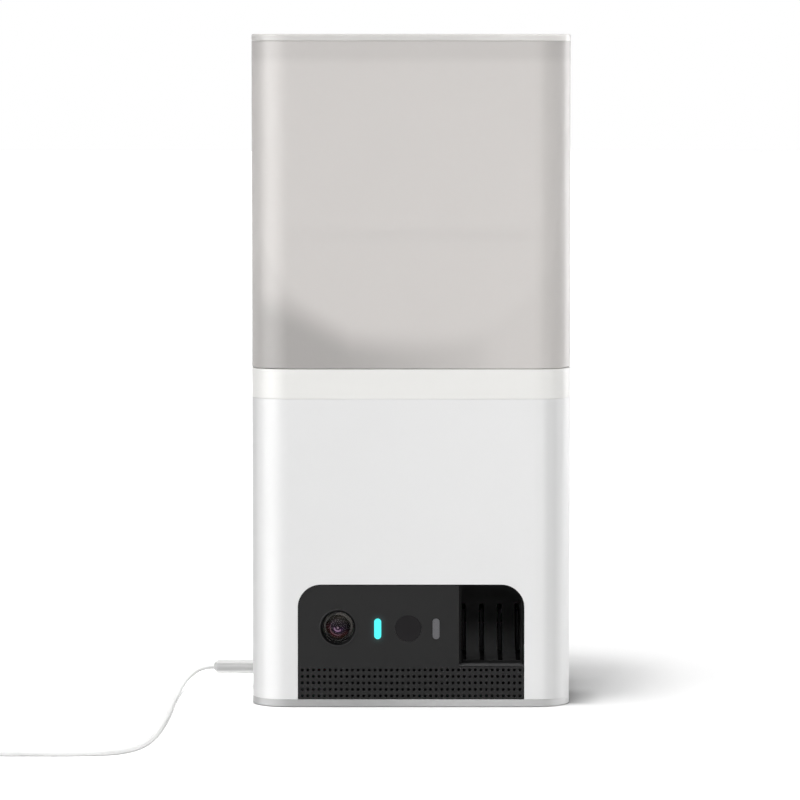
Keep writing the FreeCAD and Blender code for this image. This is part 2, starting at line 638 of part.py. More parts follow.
duct = duct_solid(1.3).cut(duct_solid(0.0))
ring = rr_prism(DROP_HALF + 4, DROP_HALF + 4, DROP_CORNER + 2, DECK_Z0 - 1.6, DECK_Z0, DROP_X, DROP_Y)
ring = ring.cut(rr_prism(DROP_HALF + 0.6, DROP_HALF + 0.6, DROP_CORNER + 0.3, DECK_Z0 - 3, DECK_Z0 + 1, DROP_X, DROP_Y))
duct = duct.fuse(ring.cut(cyl_z(5.6, ROTOR_X, ROTOR_Y, 90, 110))).cut(duct_solid(0.0))
node("drop_duct", one(duct))

# --------------------------------------------------------- launcher bracket
GEAR_X0, GEAR_X1 = 10.8, 13.8
PIN_ANGLE = math.radians(30)
KICK_CENTRES = (KICK_TEETH + LAUNCH_TEETH) * KICK_MODULE / 2
PIN_Y = KICK_Y + KICK_CENTRES * math.cos(PIN_ANGLE)
PIN_Z = KICK_Z + KICK_CENTRES * math.sin(PIN_ANGLE)
br = box(7.6, 52.0, -48.0, -12.0, BASE_TOP, 5.3)
br = br.fuse(box(15.2, 17.2, -48.0, -28.0, 5.0, 30.0))
br = br.fuse(box(47.6, 49.6, -48.0, -28.0, 5.0, 30.0))
br = br.fuse(box(7.6, 9.8, -36.5, -12.0, 5.0, 34.0))
br = br.cut(cyl_x(2.0 + RUN_CLEAR, KICK_Y, KICK_Z, 14, 60))
br = br.cut(cyl_x(3.0, PIN_Y, PIN_Z, 5, 12))
MOTOR_SCREWS_X = [(PIN_Y + 6.5 * math.cos(a), PIN_Z + 6.5 * math.sin(a)) for a in (math.radians(100), math.radians(280))]
for y, z in MOTOR_SCREWS_X:
    br = br.cut(cyl_x(1.05, y, z, 5, 12))
br = br.cut(cyl_x(0.85, -44, 26.5, 14, 19)).cut(cyl_x(0.85, -44, 26.5, 46, 60))
BR_SCREWS = [(22.0, -44.5), (35.5, -44.5), (24.0, -15.5), (43.0, -15.5)]
for x, y in BR_SCREWS:
    br = br.cut(cyl_z(1.3, x, y, 0, 10))
node("launcher_bracket", one(br))
# screw holes of the bracket in the base plate
b = NODES["base_plate"][0]
for x, y in BR_SCREWS:
    b = b.cut(cyl_z(1.1, x, y, 1.2, 10))
NODES["base_plate"] = one(b).Solids

# launch motor and its shaft
lm = cyl_x(10.0, PIN_Y, PIN_Z, -24.0, 7.6)
lm = lm.fuse(cyl_x(3.0, PIN_Y, PIN_Z, 7.0, 9.6))
lm = lm.cut(cyl_x(1.0 + RUN_CLEAR, PIN_Y, PIN_Z, 2.0, 12))
for y, z in MOTOR_SCREWS_X:
    lm = lm.cut(cyl_x(0.8, y, z, 4.0, 9))
lm = lm.fuse(box(-25.6, -23.9, PIN_Y - 4.5, PIN_Y + 4.5, PIN_Z - 1.2, PIN_Z + 1.2))
node("launch_motor", one(lm))
node("launch_motor_shaft", cyl_x(1.0, PIN_Y, PIN_Z, 2.4, 14.4))

pin = gear(LAUNCH_TEETH, KICK_MODULE, 0, 3.4, phase_deg=15.0, bore=1.0, backlash=0.12)
node("launch_pinion", moved_to_x(pin, GEAR_X0 - 0.2, PIN_Y, PIN_Z))
kg = gear(KICK_TEETH, KICK_MODULE, 0, GEAR_X1 - GEAR_X0, phase_deg=0.0, bore=2.0, backlash=0.12)
kg = kg.fuse(cyl_z(3.6, 0, 0, GEAR_X1 - GEAR_X0 - 0.5, GEAR_X1 - GEAR_X0 + 1.0).cut(
    cyl_z(2.0, 0, 0, 0, 6)))
for k in range(4):
    a = math.radians(45 + 90 * k)
    kg = kg.cut(cyl_z(1.4, 5.6 * math.cos(a), 5.6 * math.sin(a), -1, 3.2))
node("kicker_gear", moved_to_x(one(kg), GEAR_X0, KICK_Y, KICK_Z))
node("kicker_shaft", cyl_x(2.0, KICK_Y, KICK_Z, 10.2, 50.6))

# kicker arm: hub and four tines
hub = cyl_x(4.0, KICK_Y, KICK_Z, 20.3, 44.2)
arm = hub
a = math.radians(KICK_REST_DEG)
dy, dz = math.cos(a), math.sin(a)
ny, nz = -dz, dy
for sx in SLOT_X:
    base_w, tip_w = 2.4, 1.25
    L = KICK_REACH - tip_w
    p0 = (KICK_Y + ny * base_w, KICK_Z + nz * base_w)
    p1 = (KICK_Y + dy * L + ny * tip_w, KICK_Z + dz * L + nz * tip_w)
    p2 = (KICK_Y + dy * KICK_REACH, KICK_Z + dz * KICK_REACH)
    p3 = (KICK_Y + dy * L - ny * tip_w, KICK_Z + dz * L - nz * tip_w)
    p4 = (KICK_Y - ny * base_w, KICK_Z - nz * base_w)
    X = sx - TINE_W / 2
    w = Part.Wire([
        Part.LineSegment(V(X, *p0), V(X, *p1)).toShape(),
        Part.Arc(V(X, *p1), V(X, *p2), V(X, *p3)).toShape(),
        Part.LineSegment(V(X, *p3), V(X, *p4)).toShape(),
        Part.LineSegment(V(X, *p4), V(X, *p0)).toShape(),
    ])
    arm = arm.fuse(Part.Face(w).extrude(V(TINE_W, 0, 0)))
arm = arm.cut(cyl_x(2.0, KICK_Y, KICK_Z, 10, 60))
node("kicker_arm", one(arm))

ks = coil_spring(4.4, 0.35, 2.9, 2.5)
node("kicker_spring", moved_to_x(ks, 44.5, KICK_Y, KICK_Z))

# --------------------------------------------------------------- feeder deck
FEED_ANGLE = math.radians(135)
FEED_CENTRES = (RING_TEETH + FEED_TEETH) * FEED_MODULE / 2
FX = ROTOR_X + FEED_CENTRES * math.cos(FEED_ANGLE)
FY = ROTOR_Y + FEED_CENTRES * math.sin(FEED_ANGLE)
q = math.radians(45)
MOTOR_SCREWS_Z = [(FX + 8.5 * math.cos(q), FY + 8.5 * math.sin(q)), (FX - 8.5 * math.cos(q), FY - 8.5 * math.sin(q))]
CUP_EARS = [(ROTOR_X + 43.5 * math.cos(math.radians(t)), ROTOR_Y + 43.5 * math.sin(math.radians(t))) for t in (80, 200, 280)]

dk = body_prism(2.9, DECK_Z0, DECK_Z1)
dk = dk.cut(rr_prism(DROP_HALF, DROP_HALF, DROP_CORNER, 90, 110, DROP_X, DROP_Y))
dk = dk.cut(cyl_z(4.2, FX, FY, 90, 110))
dk = dk.cut(cyl_z(AXLE_R, ROTOR_X, ROTOR_Y, 90, 110))
dk = dk.cut(cyl_z(5.0, -38, 40, 90, 110))
for x, y in BOSS:
    dk = dk.cut(cyl_z(1.35, x, y, 90, 110))
for x, y in MOTOR_SCREWS_Z:
    dk = dk.cut(cyl_z(1.05, x, y, 90, 110))
for x, y in CUP_EARS:
    dk = dk.cut(cyl_z(1.1, x, y, 90, 110))
node("feeder_deck", one(dk))

# feeder cup
cup = cyl_z(CUP_R + CUP_WALL, ROTOR_X, ROTOR_Y, DECK_Z1, CUP_TOP).cut(
    cyl_z(CUP_R, ROTOR_X, ROTOR_Y, CUP_FLOOR, CUP_TOP + 1))
for x, y in CUP_EARS:
    cup = cup.fuse(cyl_z(4.5, x, y, DECK_Z1, CUP_FLOOR).cut(cyl_z(CUP_R, ROTOR_X, ROTOR_Y, 90, 140)))
for x, y in CUP_EARS:
    cup = cup.cut(cyl_z(1.35, x, y, 90, 140))
cup = cup.cut(rr_prism(DROP_HALF, DROP_HALF, DROP_CORNER, 90, 107, DROP_X, DROP_Y))
cup = cup.cut(cyl_z(AXLE_R, ROTOR_X, ROTOR_Y, 90, 107))
cup = cup.cut(cyl_z(7.9, FX, FY, CUP_FLOOR - 0.01, 112.6))
node("feeder_cup", one(cup))

ax = cyl_z(AXLE_R, ROTOR_X, ROTOR_Y, DECK_Z0 - 0.4, 129.5)
ax = ax.fuse(cyl_z(4.2, ROTOR_X, ROTOR_Y, DECK_Z0 - 1.6, DECK_Z0))
node("rotor_axle", one(ax))

# feed rotor with four pockets and a ring of teeth
rt = gear(RING_TEETH, FEED_MODULE, ROTOR_Z0, RING_Z1, phase_deg=0.0)
rt = rt.fuse(cyl_z(ROTOR_R - 0.6, 0, 0, ROTOR_Z0, ROTOR_Z1))
rt = one(rt)
top_rim = [e for e in rt.Edges if abs(e.CenterOfMass.z - ROTOR_Z1) < 1e-4 and e.Length > 200]
if top_rim:
    rt = rt.makeFillet(0.8, top_rim)
first = math.atan2(-ROTOR_Y, -ROTOR_X)
for k in range(4):
    t = first + k * math.pi / 2
    rt = rt.cut(cyl_z(POCKET_R, POCKET_ORBIT * math.cos(t), POCKET_ORBIT * math.sin(t), 100, 140))
rt = rt.cut(cyl_z(AXLE_R + RUN_CLEAR, 0, 0, 100, 130.0))
rt = one(rt)
rt.translate(V(ROTOR_X, ROTOR_Y, 0))
node("feed_rotor", rt)

fp = gear(FEED_TEETH, FEED_MODULE, 106.3, 110.8, phase_deg=0.0, bore=1.5)
fp.translate(V(FX, FY, 0))
node("feed_pinion", fp)
node("feed_motor_shaft", cyl_z(1.5, FX, FY, 92.0, 111.2))
fm = cyl_z(12.0, FX, FY, 76.0, DECK_Z0)
fm = fm.fuse(cyl_z(10.8, FX, FY, 50.0, 76.5))
fm = fm.fuse(cyl_z(3.6, FX, FY, DECK_Z0 - 0.5, 103.4))
fm = fm.cut(cyl_z(1.5 + RUN_CLEAR, FX, FY, 91.6, 112))
for x, y in MOTOR_SCREWS_Z:
    fm = fm.cut(cyl_z(0.8, x, y, 97.0, 102))
fm = fm.fuse(box(FX - 5, FX + 5, FY - 1.3, FY + 1.3, 48.4, 50.2))
node("feed_motor", one(fm))

# ---------------------------------------------------------------- main board
mb = box(-44, 44, 52.0, 53.6, 20.0, 90.0)
for x, z in BOARD_POSTS:
    mb = mb.cut(cyl_y(1.3, x, z, 50, 55))
node("main_board", one(mb))
chips = [
    box(-12, 4, 50.6, 52.0, 48, 64),
    box(10, 20, 50.9, 52.0, 50, 58),
    box(10, 20, 50.9, 52.0, 61, 69),
    box(-34, -20, 50.2, 52.0, 70, 82),
    box(-36, -22, 48.4, 52.0, 27, 33),
    box(24, 36, 47.6, 52.0, 40, 47),
    box(-6, 10, 48.6, 52.0, 24, 30),
]
node("main_chips", *chips)

# ------------------------------------------------------------- reset button
bt = cyl_y(3.0, BUTTON_X, BUTTON_Z, 61.9, HD + 0.3)
rim = [e for e in bt.Edges if abs(e.CenterOfMass.y - HD - 0.3) < 1e-4]
bt = bt.makeFillet(0.4, rim)
bt = bt.fuse(cyl_y(4.3, BUTTON_X, BUTTON_Z, 60.9, 62.2))
bt = bt.fuse(cyl_y(1.5, BUTTON_X, BUTTON_Z, 57.9, 61.0))
node("reset_button", one(bt))
sp = coil_spring(3.5, 0.25, 5.6, 4.5)
sp.rotate(V(0, 0, 0), V(1, 0, 0), -90)
sp.translate(V(BUTTON_X, 53.75, BUTTON_Z))
node("button_spring", sp)
node("button_switch", one(box(BUTTON_X - 2.1, BUTTON_X + 2.1, 53.6, 56.2, BUTTON_Z - 2.1, BUTTON_Z + 2.1).fuse(
    cyl_y(1.0, BUTTON_X, BUTTON_Z, 56.0, 56.7))))

# ------------------------------------------------------------- power socket
sk = box(-60.8, -52.4, PORT_Y - 5.2, PORT_Y + 5.2, 6.6, 10.4)
cav = flat_stadium_y(8.6, 2.8, 0, 0, -10, 10)
cav.rotate(V(0, 0, 0), V(0, 0, 1), 90)
cav.translate(V(-60, PORT_Y, PORT_Z))
sk = sk.cut(cav.common(box(-70, -54.6, -20, 20, 0, 20)))
sk = sk.fuse(box(-59.2, -54.4, PORT_Y - 3.0, PORT_Y + 3.0, PORT_Z - 0.35, PORT_Z + 0.35))
node("power_socket", one(sk))
skb = box(-58.2, -39.0, -19.0, 9.0, 5.2, 6.6)
node("socket_board", one(skb))

# ------------------------------------------------------------ camera ribbon
def ribbon(path_yz, x, half, thick):
    """Flat cable: runs with tangent arcs in the YZ plane, extruded along X."""
    def offset(side):
        out = []
        n = len(path_yz)
        for i, (y, z) in enumerate(path_yz):
            def direction(a, b):
                d = math.hypot(b[0] - a[0], b[1] - a[1])
                return (b[0] - a[0]) / d, (b[1] - a[1]) / d
            if i == 0:
                d = direction(path_yz[0], path_yz[1])
                out.append((y - d[1] * side, z + d[0] * side))
            elif i == n - 1:
                d = direction(path_yz[-2], path_yz[-1])
                out.append((y - d[1] * side, z + d[0] * side))
            else:
                d0 = direction(path_yz[i - 1], path_yz[i])
                d1 = direction(path_yz[i], path_yz[i + 1])
                nx, nz_ = -(d0[1] + d1[1]), d0[0] + d1[0]
                k = side * 2 / (nx * nx + nz_ * nz_)
                out.append((y + nx * k, z + nz_ * k))
        return out
    a, b2 = offset(thick / 2), offset(-thick / 2)
    pts = [(x - half, y, z) for y, z in a] + [(x - half, y, z) for y, z in reversed(b2)]
    return polygon(pts).extrude(V(2 * half, 0, 0))


ribbon_path = [(-50.4, 36.5), (-47.0, 36.5), (-45.0, 38.0), (-43.6, 41.0), (-41.5, 62.0), (-38.5, 66.5),
               (-33.0, 68.5), (20.0, 70.0), (36.0, 67.0), (43.5, 60.0), (47.2, 48.0), (49.0, 38.0), (49.6, 33.2)]
node("camera_ribbon", ribbon(ribbon_path, CAM_X, 3.0, 0.3))

# ------------------------------------------------------------- wiring leads
leads = [
    tube([(-25.7, PIN_Y - 3.2, PIN_Z), (-31.0, PIN_Y - 3.2, PIN_Z + 0.4), (-37.0, PIN_Y + 4, 24.5), (-39.0, -6.0, 27.0),
          (-39.5, 14.0, 29.0), (-37.0, 32.0, 30.0), (-33.5, 43.0, 30.2), (-33.0, 48.3, 30.2)], 0.6),
    tube([(SPK_X + 5.0, -50.4, SPK_Z + 2), (SPK_X + 5.2, -45.5, SPK_Z + 2.3), (SPK_X + 6.5, -38.0, SPK_Z - 1.0),
          (-6.0, -22.0, 7.0), (-4.0, -2.0, 6.0), (-1.0, 18.0, 8.5), (1.5, 33.0, 16.0), (2.0, 42.6, 24.0), (2.0, 48.0, 27.3)], 0.6),
    tube([(-38.9, -10.0, 7.4), (-33.0, -9.6, 7.6), (-26.0, -2.0, 8.5), (-22.0, 12.0, 9.5), (-22.0, 26.0, 14.0),
          (-24.0, 37.0, 21.0), (-25.5, 43.6, 27.0), (-25.5, 47.8, 29.0)], 0.7),
    tube([(FX + 3.5, FY, 48.3), (FX + 3.5, FY + 0.3, 43.5), (FX + 6.0, FY + 5.0, 38.0), (4.0, 32.0, 35.5),
          (16.0, 39.0, 38.5), (24.0, 42.6, 42.0), (27.5, 46.9, 43.2)], 0.6),
]
node("wiring_leads", *leads)

# -------------------------------------------------------------------- screws
chassis = [screw(2.1, 1.4, 1.1, 7.0, (x, y, DECK_Z1), (0, 0, -1)) for x, y in BOSS]
chassis += [screw(2.1, 1.4, 1.1, 4.2, (x, y, CUP_FLOOR), (0, 0, -1)) for x, y in CUP_EARS]
chassis += [screw(2.1, 1.4, 1.1, 4.0, (x, y, 5.3), (0, 0, -1)) for x, y in BR_SCREWS]
chassis += [screw(2.1, 1.4, 1.1, 7.0, (x, 52.0, z), (0, 1, 0)) for x, z in BOARD_POSTS]
node("chassis_screws", *chassis)
small = [screw(1.8, 1.1, 1.0, 3.2, (x, -61.0, z), (0, -1, 0)) for x, z in EARS]
small += [screw(1.5, 1.0, 0.8, 4.5, (x, -50.6, z), (0, -1, 0)) for x, z in CAM_POSTS]
small += [screw(1.5, 1.0, 0.8, 4.5, (x, -56.6, z), (0, -1, 0)) for x, z in BOARD2_POSTS]
small += [screw(1.5, 1.0, 0.8, 5.4, (x, y, DECK_Z1), (0, 0, -1)) for x, y in MOTOR_SCREWS_Z]
small += [screw(1.5, 0.8, 0.8, 5.0, (9.8, y, z), (-1, 0, 0)) for y, z in MOTOR_SCREWS_X]
small += [screw(1.5, 1.0, 0.8, 3.8, (15.2, -44, 26.5), (1, 0, 0)), screw(1.5, 1.0, 0.8, 3.8, (49.6, -44, 26.5), (-1, 0, 0))]
node("small_screws", *small)

# ----------------------------------------------------------------- container
sh = body_prism(0, HOPPER_BOTTOM, HOPPER_TOP)
sh = soften(sh, HOPPER_BOTTOM, SEAM_ROUND)
sh = soften(sh, HOPPER_TOP, SEAM_FINE)
sh = sh.cut(body_prism(HOPPER_WALL, 100, 300))
node("hopper_shell", one(sh))


def bowl(grow):
    """Trough along Y crossed with a trough along X, grow mm larger."""
    cx_z = FUNNEL_LOW + FUNNEL_RX
    cy_z = FUNNEL_LOW + FUNNEL_RY
    a = cyl_y(FUNNEL_RX + grow, 0, cx_z, -90, 90)
    b = cyl_x(FUNNEL_RY + grow, 0, cy_z, -90, 90)
    return a.common(b)


fn = body_prism(HOPPER_WALL, 120, FUNNEL_RIM).common(bowl(FUNNEL_WALL)).cut(bowl(0.0))
spout = cyl_z(SPOUT_R + 2.0, 0, 0, 133.8, 150).common(bowl(FUNNEL_WALL * 0.5).fuse(box(-40, 40, -40, 40, 130, 142.6)))
fn = fn.fuse(spout).cut(cyl_z(SPOUT_R, 0, 0, 120, 170))
node("hopper_funnel", one(fn))

# ----------------------------------------------------------------------- lid
lid = body_prism(0, LID_BOTTOM, HEIGHT)
lid = soften(lid, HEIGHT, 0.8)
lid = soften(lid, LID_BOTTOM, SEAM_FINE)
node("lid_panel", one(lid))
skirt = body_ring(2.7, 4.7, 255.6, LID_BOTTOM)
skirt = skirt.cut(body_ring(2.0, 3.5, 259.8, 262.6))
node("lid_skirt", one(skirt))
node("lid_seal", one(body_ring(2.45, 3.5, 259.8, 262.6)))

# ---------------------------------------------------------------- power lead
# plug at the device: overmould with a narrowed tail
def block_x(half_y, half_z, r, x0_, x1_, y, z):
    s = rr_prism(half_y, half_z, r, 0, x1_ - x0_)
    return moved_to_x(s, x0_, y, z)


pb = block_x(5.4, PLUG_HALF, 2.2, PLUG_SHOULDER_X, -HW, PORT_Y, PORT_Z)
tail = Part.makeLoft(
    [
        moved_to_x(Part.Face(rr_wire(1.9, 1.3, 1.29, 0)), PLUG_END_X, PORT_Y, PORT_Z).OuterWire,
        moved_to_x(Part.Face(rr_wire(5.4, PLUG_HALF, 2.2, 0)), PLUG_SHOULDER_X, PORT_Y, PORT_Z).OuterWire,
    ],
    True,
    True,
)
pb = pb.fuse(tail)
node("plug_body", one(pb))
psh = block_x(4.15, 1.27, 1.26, -HW, -57.2, PORT_Y, PORT_Z)
psh = psh.cut(block_x(3.75, 0.87, 0.86, -62.5, -50, PORT_Y, PORT_Z))
node("plug_shell", one(psh))

# the lead from the plug to the coil, and from the coil to the supply plug
ROUTE = [
    (-80.9, -5.0, 8.4),
    (-85.7, -5.1, 8.3),
    (-90.3, -7.2, 5.3),
    (-92.7, -12.6, 3.3),
    (-93.9, -24.0, 2.1),
    (-94.8, -40.0, 1.0),
    (-95.3, -58.0, 1.0),
    (-95.4, -80.0, 1.0),
    (-95.7, -102.0, 1.0),
    (-96.5, -124.0, 1.0),
    (-97.5, -144.5, 1.0),
    (-99.3, -162.5, 1.0),
    (-101.9, -177.0, 1.0),
    (-106.0, -187.6, 1.0),
    (-112.8, -193.6, 1.0),
    (-124.8, -195.6, 1.0),
    (-140.0, -195.4, 1.0),
    (-156.0, -196.0, 1.2),
    (-171.0, -196.6, 1.6),
    (-184.0, -197.1, 1.6),
]
node("power_cord", tube(ROUTE, CORD_D / 2, "power_cord"))
END_ROUTE = [
    (-174.0, -207.5, 7.6),
    (-173.8, -200.5, 7.2),
    (-173.5, -193.0, 5.3),
    (-173.3, -185.5, 3.9),
    (-173.2, -179.0, 3.5),
]
node("power_cord_end", tube(END_ROUTE, CORD_D / 2, "power_cord_end"))

coil = revolve(
    [(COIL_IN + 0.8, 0), (COIL_OUT - 0.8, 0), (COIL_OUT, 0.8), (COIL_OUT, 7.2), (COIL_OUT - 0.8, 8.0),
     (COIL_IN + 0.8, 8.0), (COIL_IN, 7.2), (COIL_IN, 0.8)],
    (COIL_X, COIL_Y, COIL_Z0), (0, 0, 1))
node("power_cord_coil", coil)
tie = box(-COIL_OUT - 1.0, -COIL_IN + 1.6, -2.5, 2.5, 0.0, 9.2)
tie = tie.cut(box(-COIL_OUT - 0.2, -COIL_IN + 0.8, -5, 5, 0.5, 8.7))
tie.rotate(V(0, 0, 0), V(0, 0, 1), 25)
tie.translate(V(COIL_X, COIL_Y, 0))
node("cord_tie", one(tie))

# supply plug: overmould, tongue and metal shell
SPX, SPY, SPZ = -173.2, -177.0, 3.5
ov = rr_prism(7.6, 3.5, 1.6, 0, 19.0)
ov.rotate(V(0, 0, 0), V(1, 0, 0), -90)      # along +Y, thickness along Z
ov.translate(V(SPX, SPY, SPZ))
tl = Part.makeLoft([
    Part.Wire([Part.makeCircle(1.9, V(SPX, SPY - 4.0, SPZ), V(0, 1, 0))]),
    Part.Wire([Part.makeCircle(2.9, V(SPX, SPY + 0.5, SPZ), V(0, 1, 0))]),
], True, True)
ov = ov.fuse(tl)
ov = ov.fuse(box(SPX - 5.4, SPX + 5.4, SPY + 18.5, SPY + 30.4, SPZ + 0.1, SPZ + 1.9))
ov = ov.cut(cyl_y(1.0, SPX, SPZ, SPY - 6.0, SPY - 2.0))
node("supply_plug_body", one(ov))
ss = box(SPX - 6.0, SPX + 6.0, SPY + 19.0, SPY + 31.0, SPZ - 2.25, SPZ + 2.25)
ss = ss.cut(box(SPX - 5.65, SPX + 5.65, SPY + 18.9, SPY + 32.0, SPZ - 1.9, SPZ + 1.9))
for sx in (-2.6, 2.6):
    ss = ss.cut(box(SPX + sx - 1.1, SPX + sx + 1.1, SPY + 23.0, SPY + 25.2, SPZ + 1.5, SPZ + 3))
node("supply_plug_shell", one(ss))

# ------------------------------------------------------------------- writing
for name, solids in NODES.items():
    shape = solids[0] if len(solids) == 1 else Part.makeCompound(solids)
    bad = [i for i, s in enumerate(solids) if not s.isValid() or s.Volume <= 0]
    if bad or not solids:
        print("CHECK", name, "solids", len(solids), "bad", bad)
    shape.exportStep(f"parts/{name}.step")
print(len(NODES), "nodes,", sum(len(s) for s in NODES.values()), "solids")
for line in report_lines:
    print(line)
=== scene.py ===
import math

import bmesh
import bpy
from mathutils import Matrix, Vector


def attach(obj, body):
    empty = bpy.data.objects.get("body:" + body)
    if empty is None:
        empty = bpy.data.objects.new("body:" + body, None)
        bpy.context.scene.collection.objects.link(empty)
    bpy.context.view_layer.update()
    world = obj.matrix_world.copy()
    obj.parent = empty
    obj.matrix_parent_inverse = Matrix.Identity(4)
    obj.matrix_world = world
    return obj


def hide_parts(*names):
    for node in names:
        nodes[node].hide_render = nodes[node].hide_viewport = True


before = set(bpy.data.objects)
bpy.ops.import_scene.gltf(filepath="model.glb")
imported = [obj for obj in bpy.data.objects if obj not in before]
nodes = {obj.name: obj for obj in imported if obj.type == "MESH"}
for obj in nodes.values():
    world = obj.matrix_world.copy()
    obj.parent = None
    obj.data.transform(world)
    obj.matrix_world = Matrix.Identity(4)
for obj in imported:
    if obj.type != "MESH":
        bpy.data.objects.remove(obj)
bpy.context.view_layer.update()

scene = bpy.context.scene

# ------------------------------------------------------------------ camera
cam = bpy.data.cameras.new("camera")
cam.lens = 215.82577
cam.sensor_width = 36.0
cam.sensor_fit = "HORIZONTAL"
cam.clip_start, cam.clip_end = 0.05, 60.0
eye = bpy.data.objects.new("camera", cam)
eye.location = (-0.0044, -1.965, 0.268)
eye.rotation_euler = (math.radians(85.63494), 0.0, 0.0)
scene.collection.objects.link(eye)
scene.camera = eye

# ------------------------------------------------------------------ power lead
ROUTE = [
    (-0.0809, -0.0050, 0.0084), (-0.0857, -0.0051, 0.0083), (-0.0903, -0.0072, 0.0053),
    (-0.0927, -0.0126, 0.0033), (-0.0939, -0.0240, 0.0021), (-0.0948, -0.0400, 0.0010),
    (-0.0953, -0.0580, 0.0010), (-0.0954, -0.0800, 0.0010), (-0.0957, -0.1020, 0.0010),
    (-0.0965, -0.1240, 0.0010), (-0.0975, -0.1445, 0.0010), (-0.0993, -0.1625, 0.0010),
    (-0.1019, -0.1770, 0.0010), (-0.1060, -0.1876, 0.0010), (-0.1128, -0.1936, 0.0010),
    (-0.1248, -0.1956, 0.0010), (-0.1400, -0.1954, 0.0010), (-0.1560, -0.1960, 0.0012),
    (-0.1710, -0.1966, 0.0016), (-0.1840, -0.1971, 0.0016),
]
END_ROUTE = [
    (-0.1740, -0.2075, 0.0076), (-0.1738, -0.2005, 0.0072), (-0.1735, -0.1930, 0.0053),
    (-0.1733, -0.1855, 0.0039), (-0.1732, -0.1790, 0.0035),
]
COIL = (-0.1900, -0.2130)
PER_TURN = 16
LAYER_TURNS = 5


def coil_points():
    """Control points of the wound part: four layers of five turns, wound
    counter-clockwise from the top of the circle, in and out by turns."""
    swell = 1.0 / (0.75 + 0.25 * math.cos(2 * math.pi / PER_TURN))
    out = []
    total = 4 * LAYER_TURNS * PER_TURN - PER_TURN // 4
    for i in range(1, total + 1):
        turn = i / PER_TURN
        layer = min(3, int(turn / LAYER_TURNS))
        s = turn - layer * LAYER_TURNS
        # the last quarter of a layer's turns climbs to the next layer
        run = min(1.0, s / (LAYER_TURNS - 0.75))
        r = 0.016 - 0.008 * run if layer % 2 == 0 else 0.008 + 0.008 * run
        climb = max(0.0, (s - (LAYER_TURNS - 0.75)) / 0.75)
        z = 0.0016 + 0.0020 * (layer + (climb * climb * (3 - 2 * climb) if layer < 3 else 0.0))
        a = math.radians(90) + 2 * math.pi * turn
        out.append((COIL[0] + r * swell * math.cos(a), COIL[1] + r * swell * math.sin(a), z))
    return out


lead_curve = bpy.data.curves.new("power_lead", "CURVE")
lead_curve.dimensions = "3D"
spline = lead_curve.splines.new("NURBS")
control = ROUTE + coil_points() + END_ROUTE
spline.points.add(len(control) - 1)
for point, place in zip(spline.points, control):
    point.co = (*place, 1.0)
spline.order_u = 3
spline.use_endpoint_u = True
spline.resolution_u = 6
lead_curve.bevel_depth = 0.001
lead_curve.bevel_resolution = 6
lead_curve.use_fill_caps = True
lead = bpy.data.objects.new("power_lead", lead_curve)
scene.collection.objects.link(lead)


# ------------------------------------------------------------------ material helpers
def shader(name):
    m = bpy.data.materials.new(name)
    m.use_nodes = True
    t = m.node_tree
    t.nodes.clear()
    out = t.nodes.new("ShaderNodeOutputMaterial")
    p = t.nodes.new("ShaderNodeBsdfPrincipled")
    t.links.new(p.outputs["BSDF"], out.inputs["Surface"])
    c = t.nodes.new("ShaderNodeTexCoord")
    return m, t, p, c.outputs["Object"]


def put(t, kind, **values):
    n = t.nodes.new(kind)
    for k, v in values.items():
        if k.startswith("in_"):
            n.inputs[k[3:].replace("_", " ")].default_value = v
        else:
            setattr(n, k, v)
    return n


def noise(t, where, scale, detail=3.0, rough=0.5, stretch=None):
    if stretch:
        m = put(t, "ShaderNodeMapping")
        m.inputs["Scale"].default_value = stretch
        t.links.new(where, m.inputs["Vector"])
        where = m.outputs["Vector"]
    n = put(t, "ShaderNodeTexNoise")
    n.inputs["Scale"].default_value = scale
    n.inputs["Detail"].default_value = detail
    n.inputs["Roughness"].default_value = rough
    t.links.new(where, n.inputs["Vector"])
    return n.outputs["Fac"]


def ranged(t, value, low, high, start=0.3, end=0.7):
    n = put(t, "ShaderNodeMapRange")
    n.inputs["From Min"].default_value = start
    n.inputs["From Max"].default_value = end
    n.inputs["To Min"].default_value = low
    n.inputs["To Max"].default_value = high
    t.links.new(value, n.inputs["Value"])
    return n.outputs["Result"]


def blend_colour(t, value, a, b):
    n = put(t, "ShaderNodeMix", data_type="RGBA")
    n.inputs["A"].default_value = (*a, 1.0) if len(a) == 3 else a
    n.inputs["B"].default_value = (*b, 1.0) if len(b) == 3 else b
    for s in n.inputs:
        if s.type == "RGBA" and s.name == "A":
            s.default_value = (*a, 1.0)
        if s.type == "RGBA" and s.name == "B":
            s.default_value = (*b, 1.0)
    t.links.new(value, n.inputs["Factor"])
    return [o for o in n.outputs if o.type == "RGBA"][0]


def scaled(c, k):
    return tuple(max(0.0, min(1.0, x * k)) for x in c)


def calc(t, operation, *values, clamp=False):
    n = put(t, "ShaderNodeMath", operation=operation, use_clamp=clamp)
    for socket, v in zip(n.inputs, values):
        if isinstance(v, (int, float)):
            socket.default_value = v
        else:
            t.links.new(v, socket)
    return n.outputs[0]


def smooth(t, value, start, end, low=0.0, high=1.0):
    n = put(t, "ShaderNodeMapRange", interpolation_type="SMOOTHSTEP")
    n.inputs["From Min"].default_value = start
    n.inputs["From Max"].default_value = end
    n.inputs["To Min"].default_value = low
    n.inputs["To Max"].default_value = high
    t.links.new(value, n.inputs["Value"])
    return n.outputs["Result"]


def axes(t, where):
    n = put(t, "ShaderNodeSeparateXYZ")
    t.links.new(where, n.inputs[0])
    return n.outputs[0], n.outputs[1], n.outputs[2]


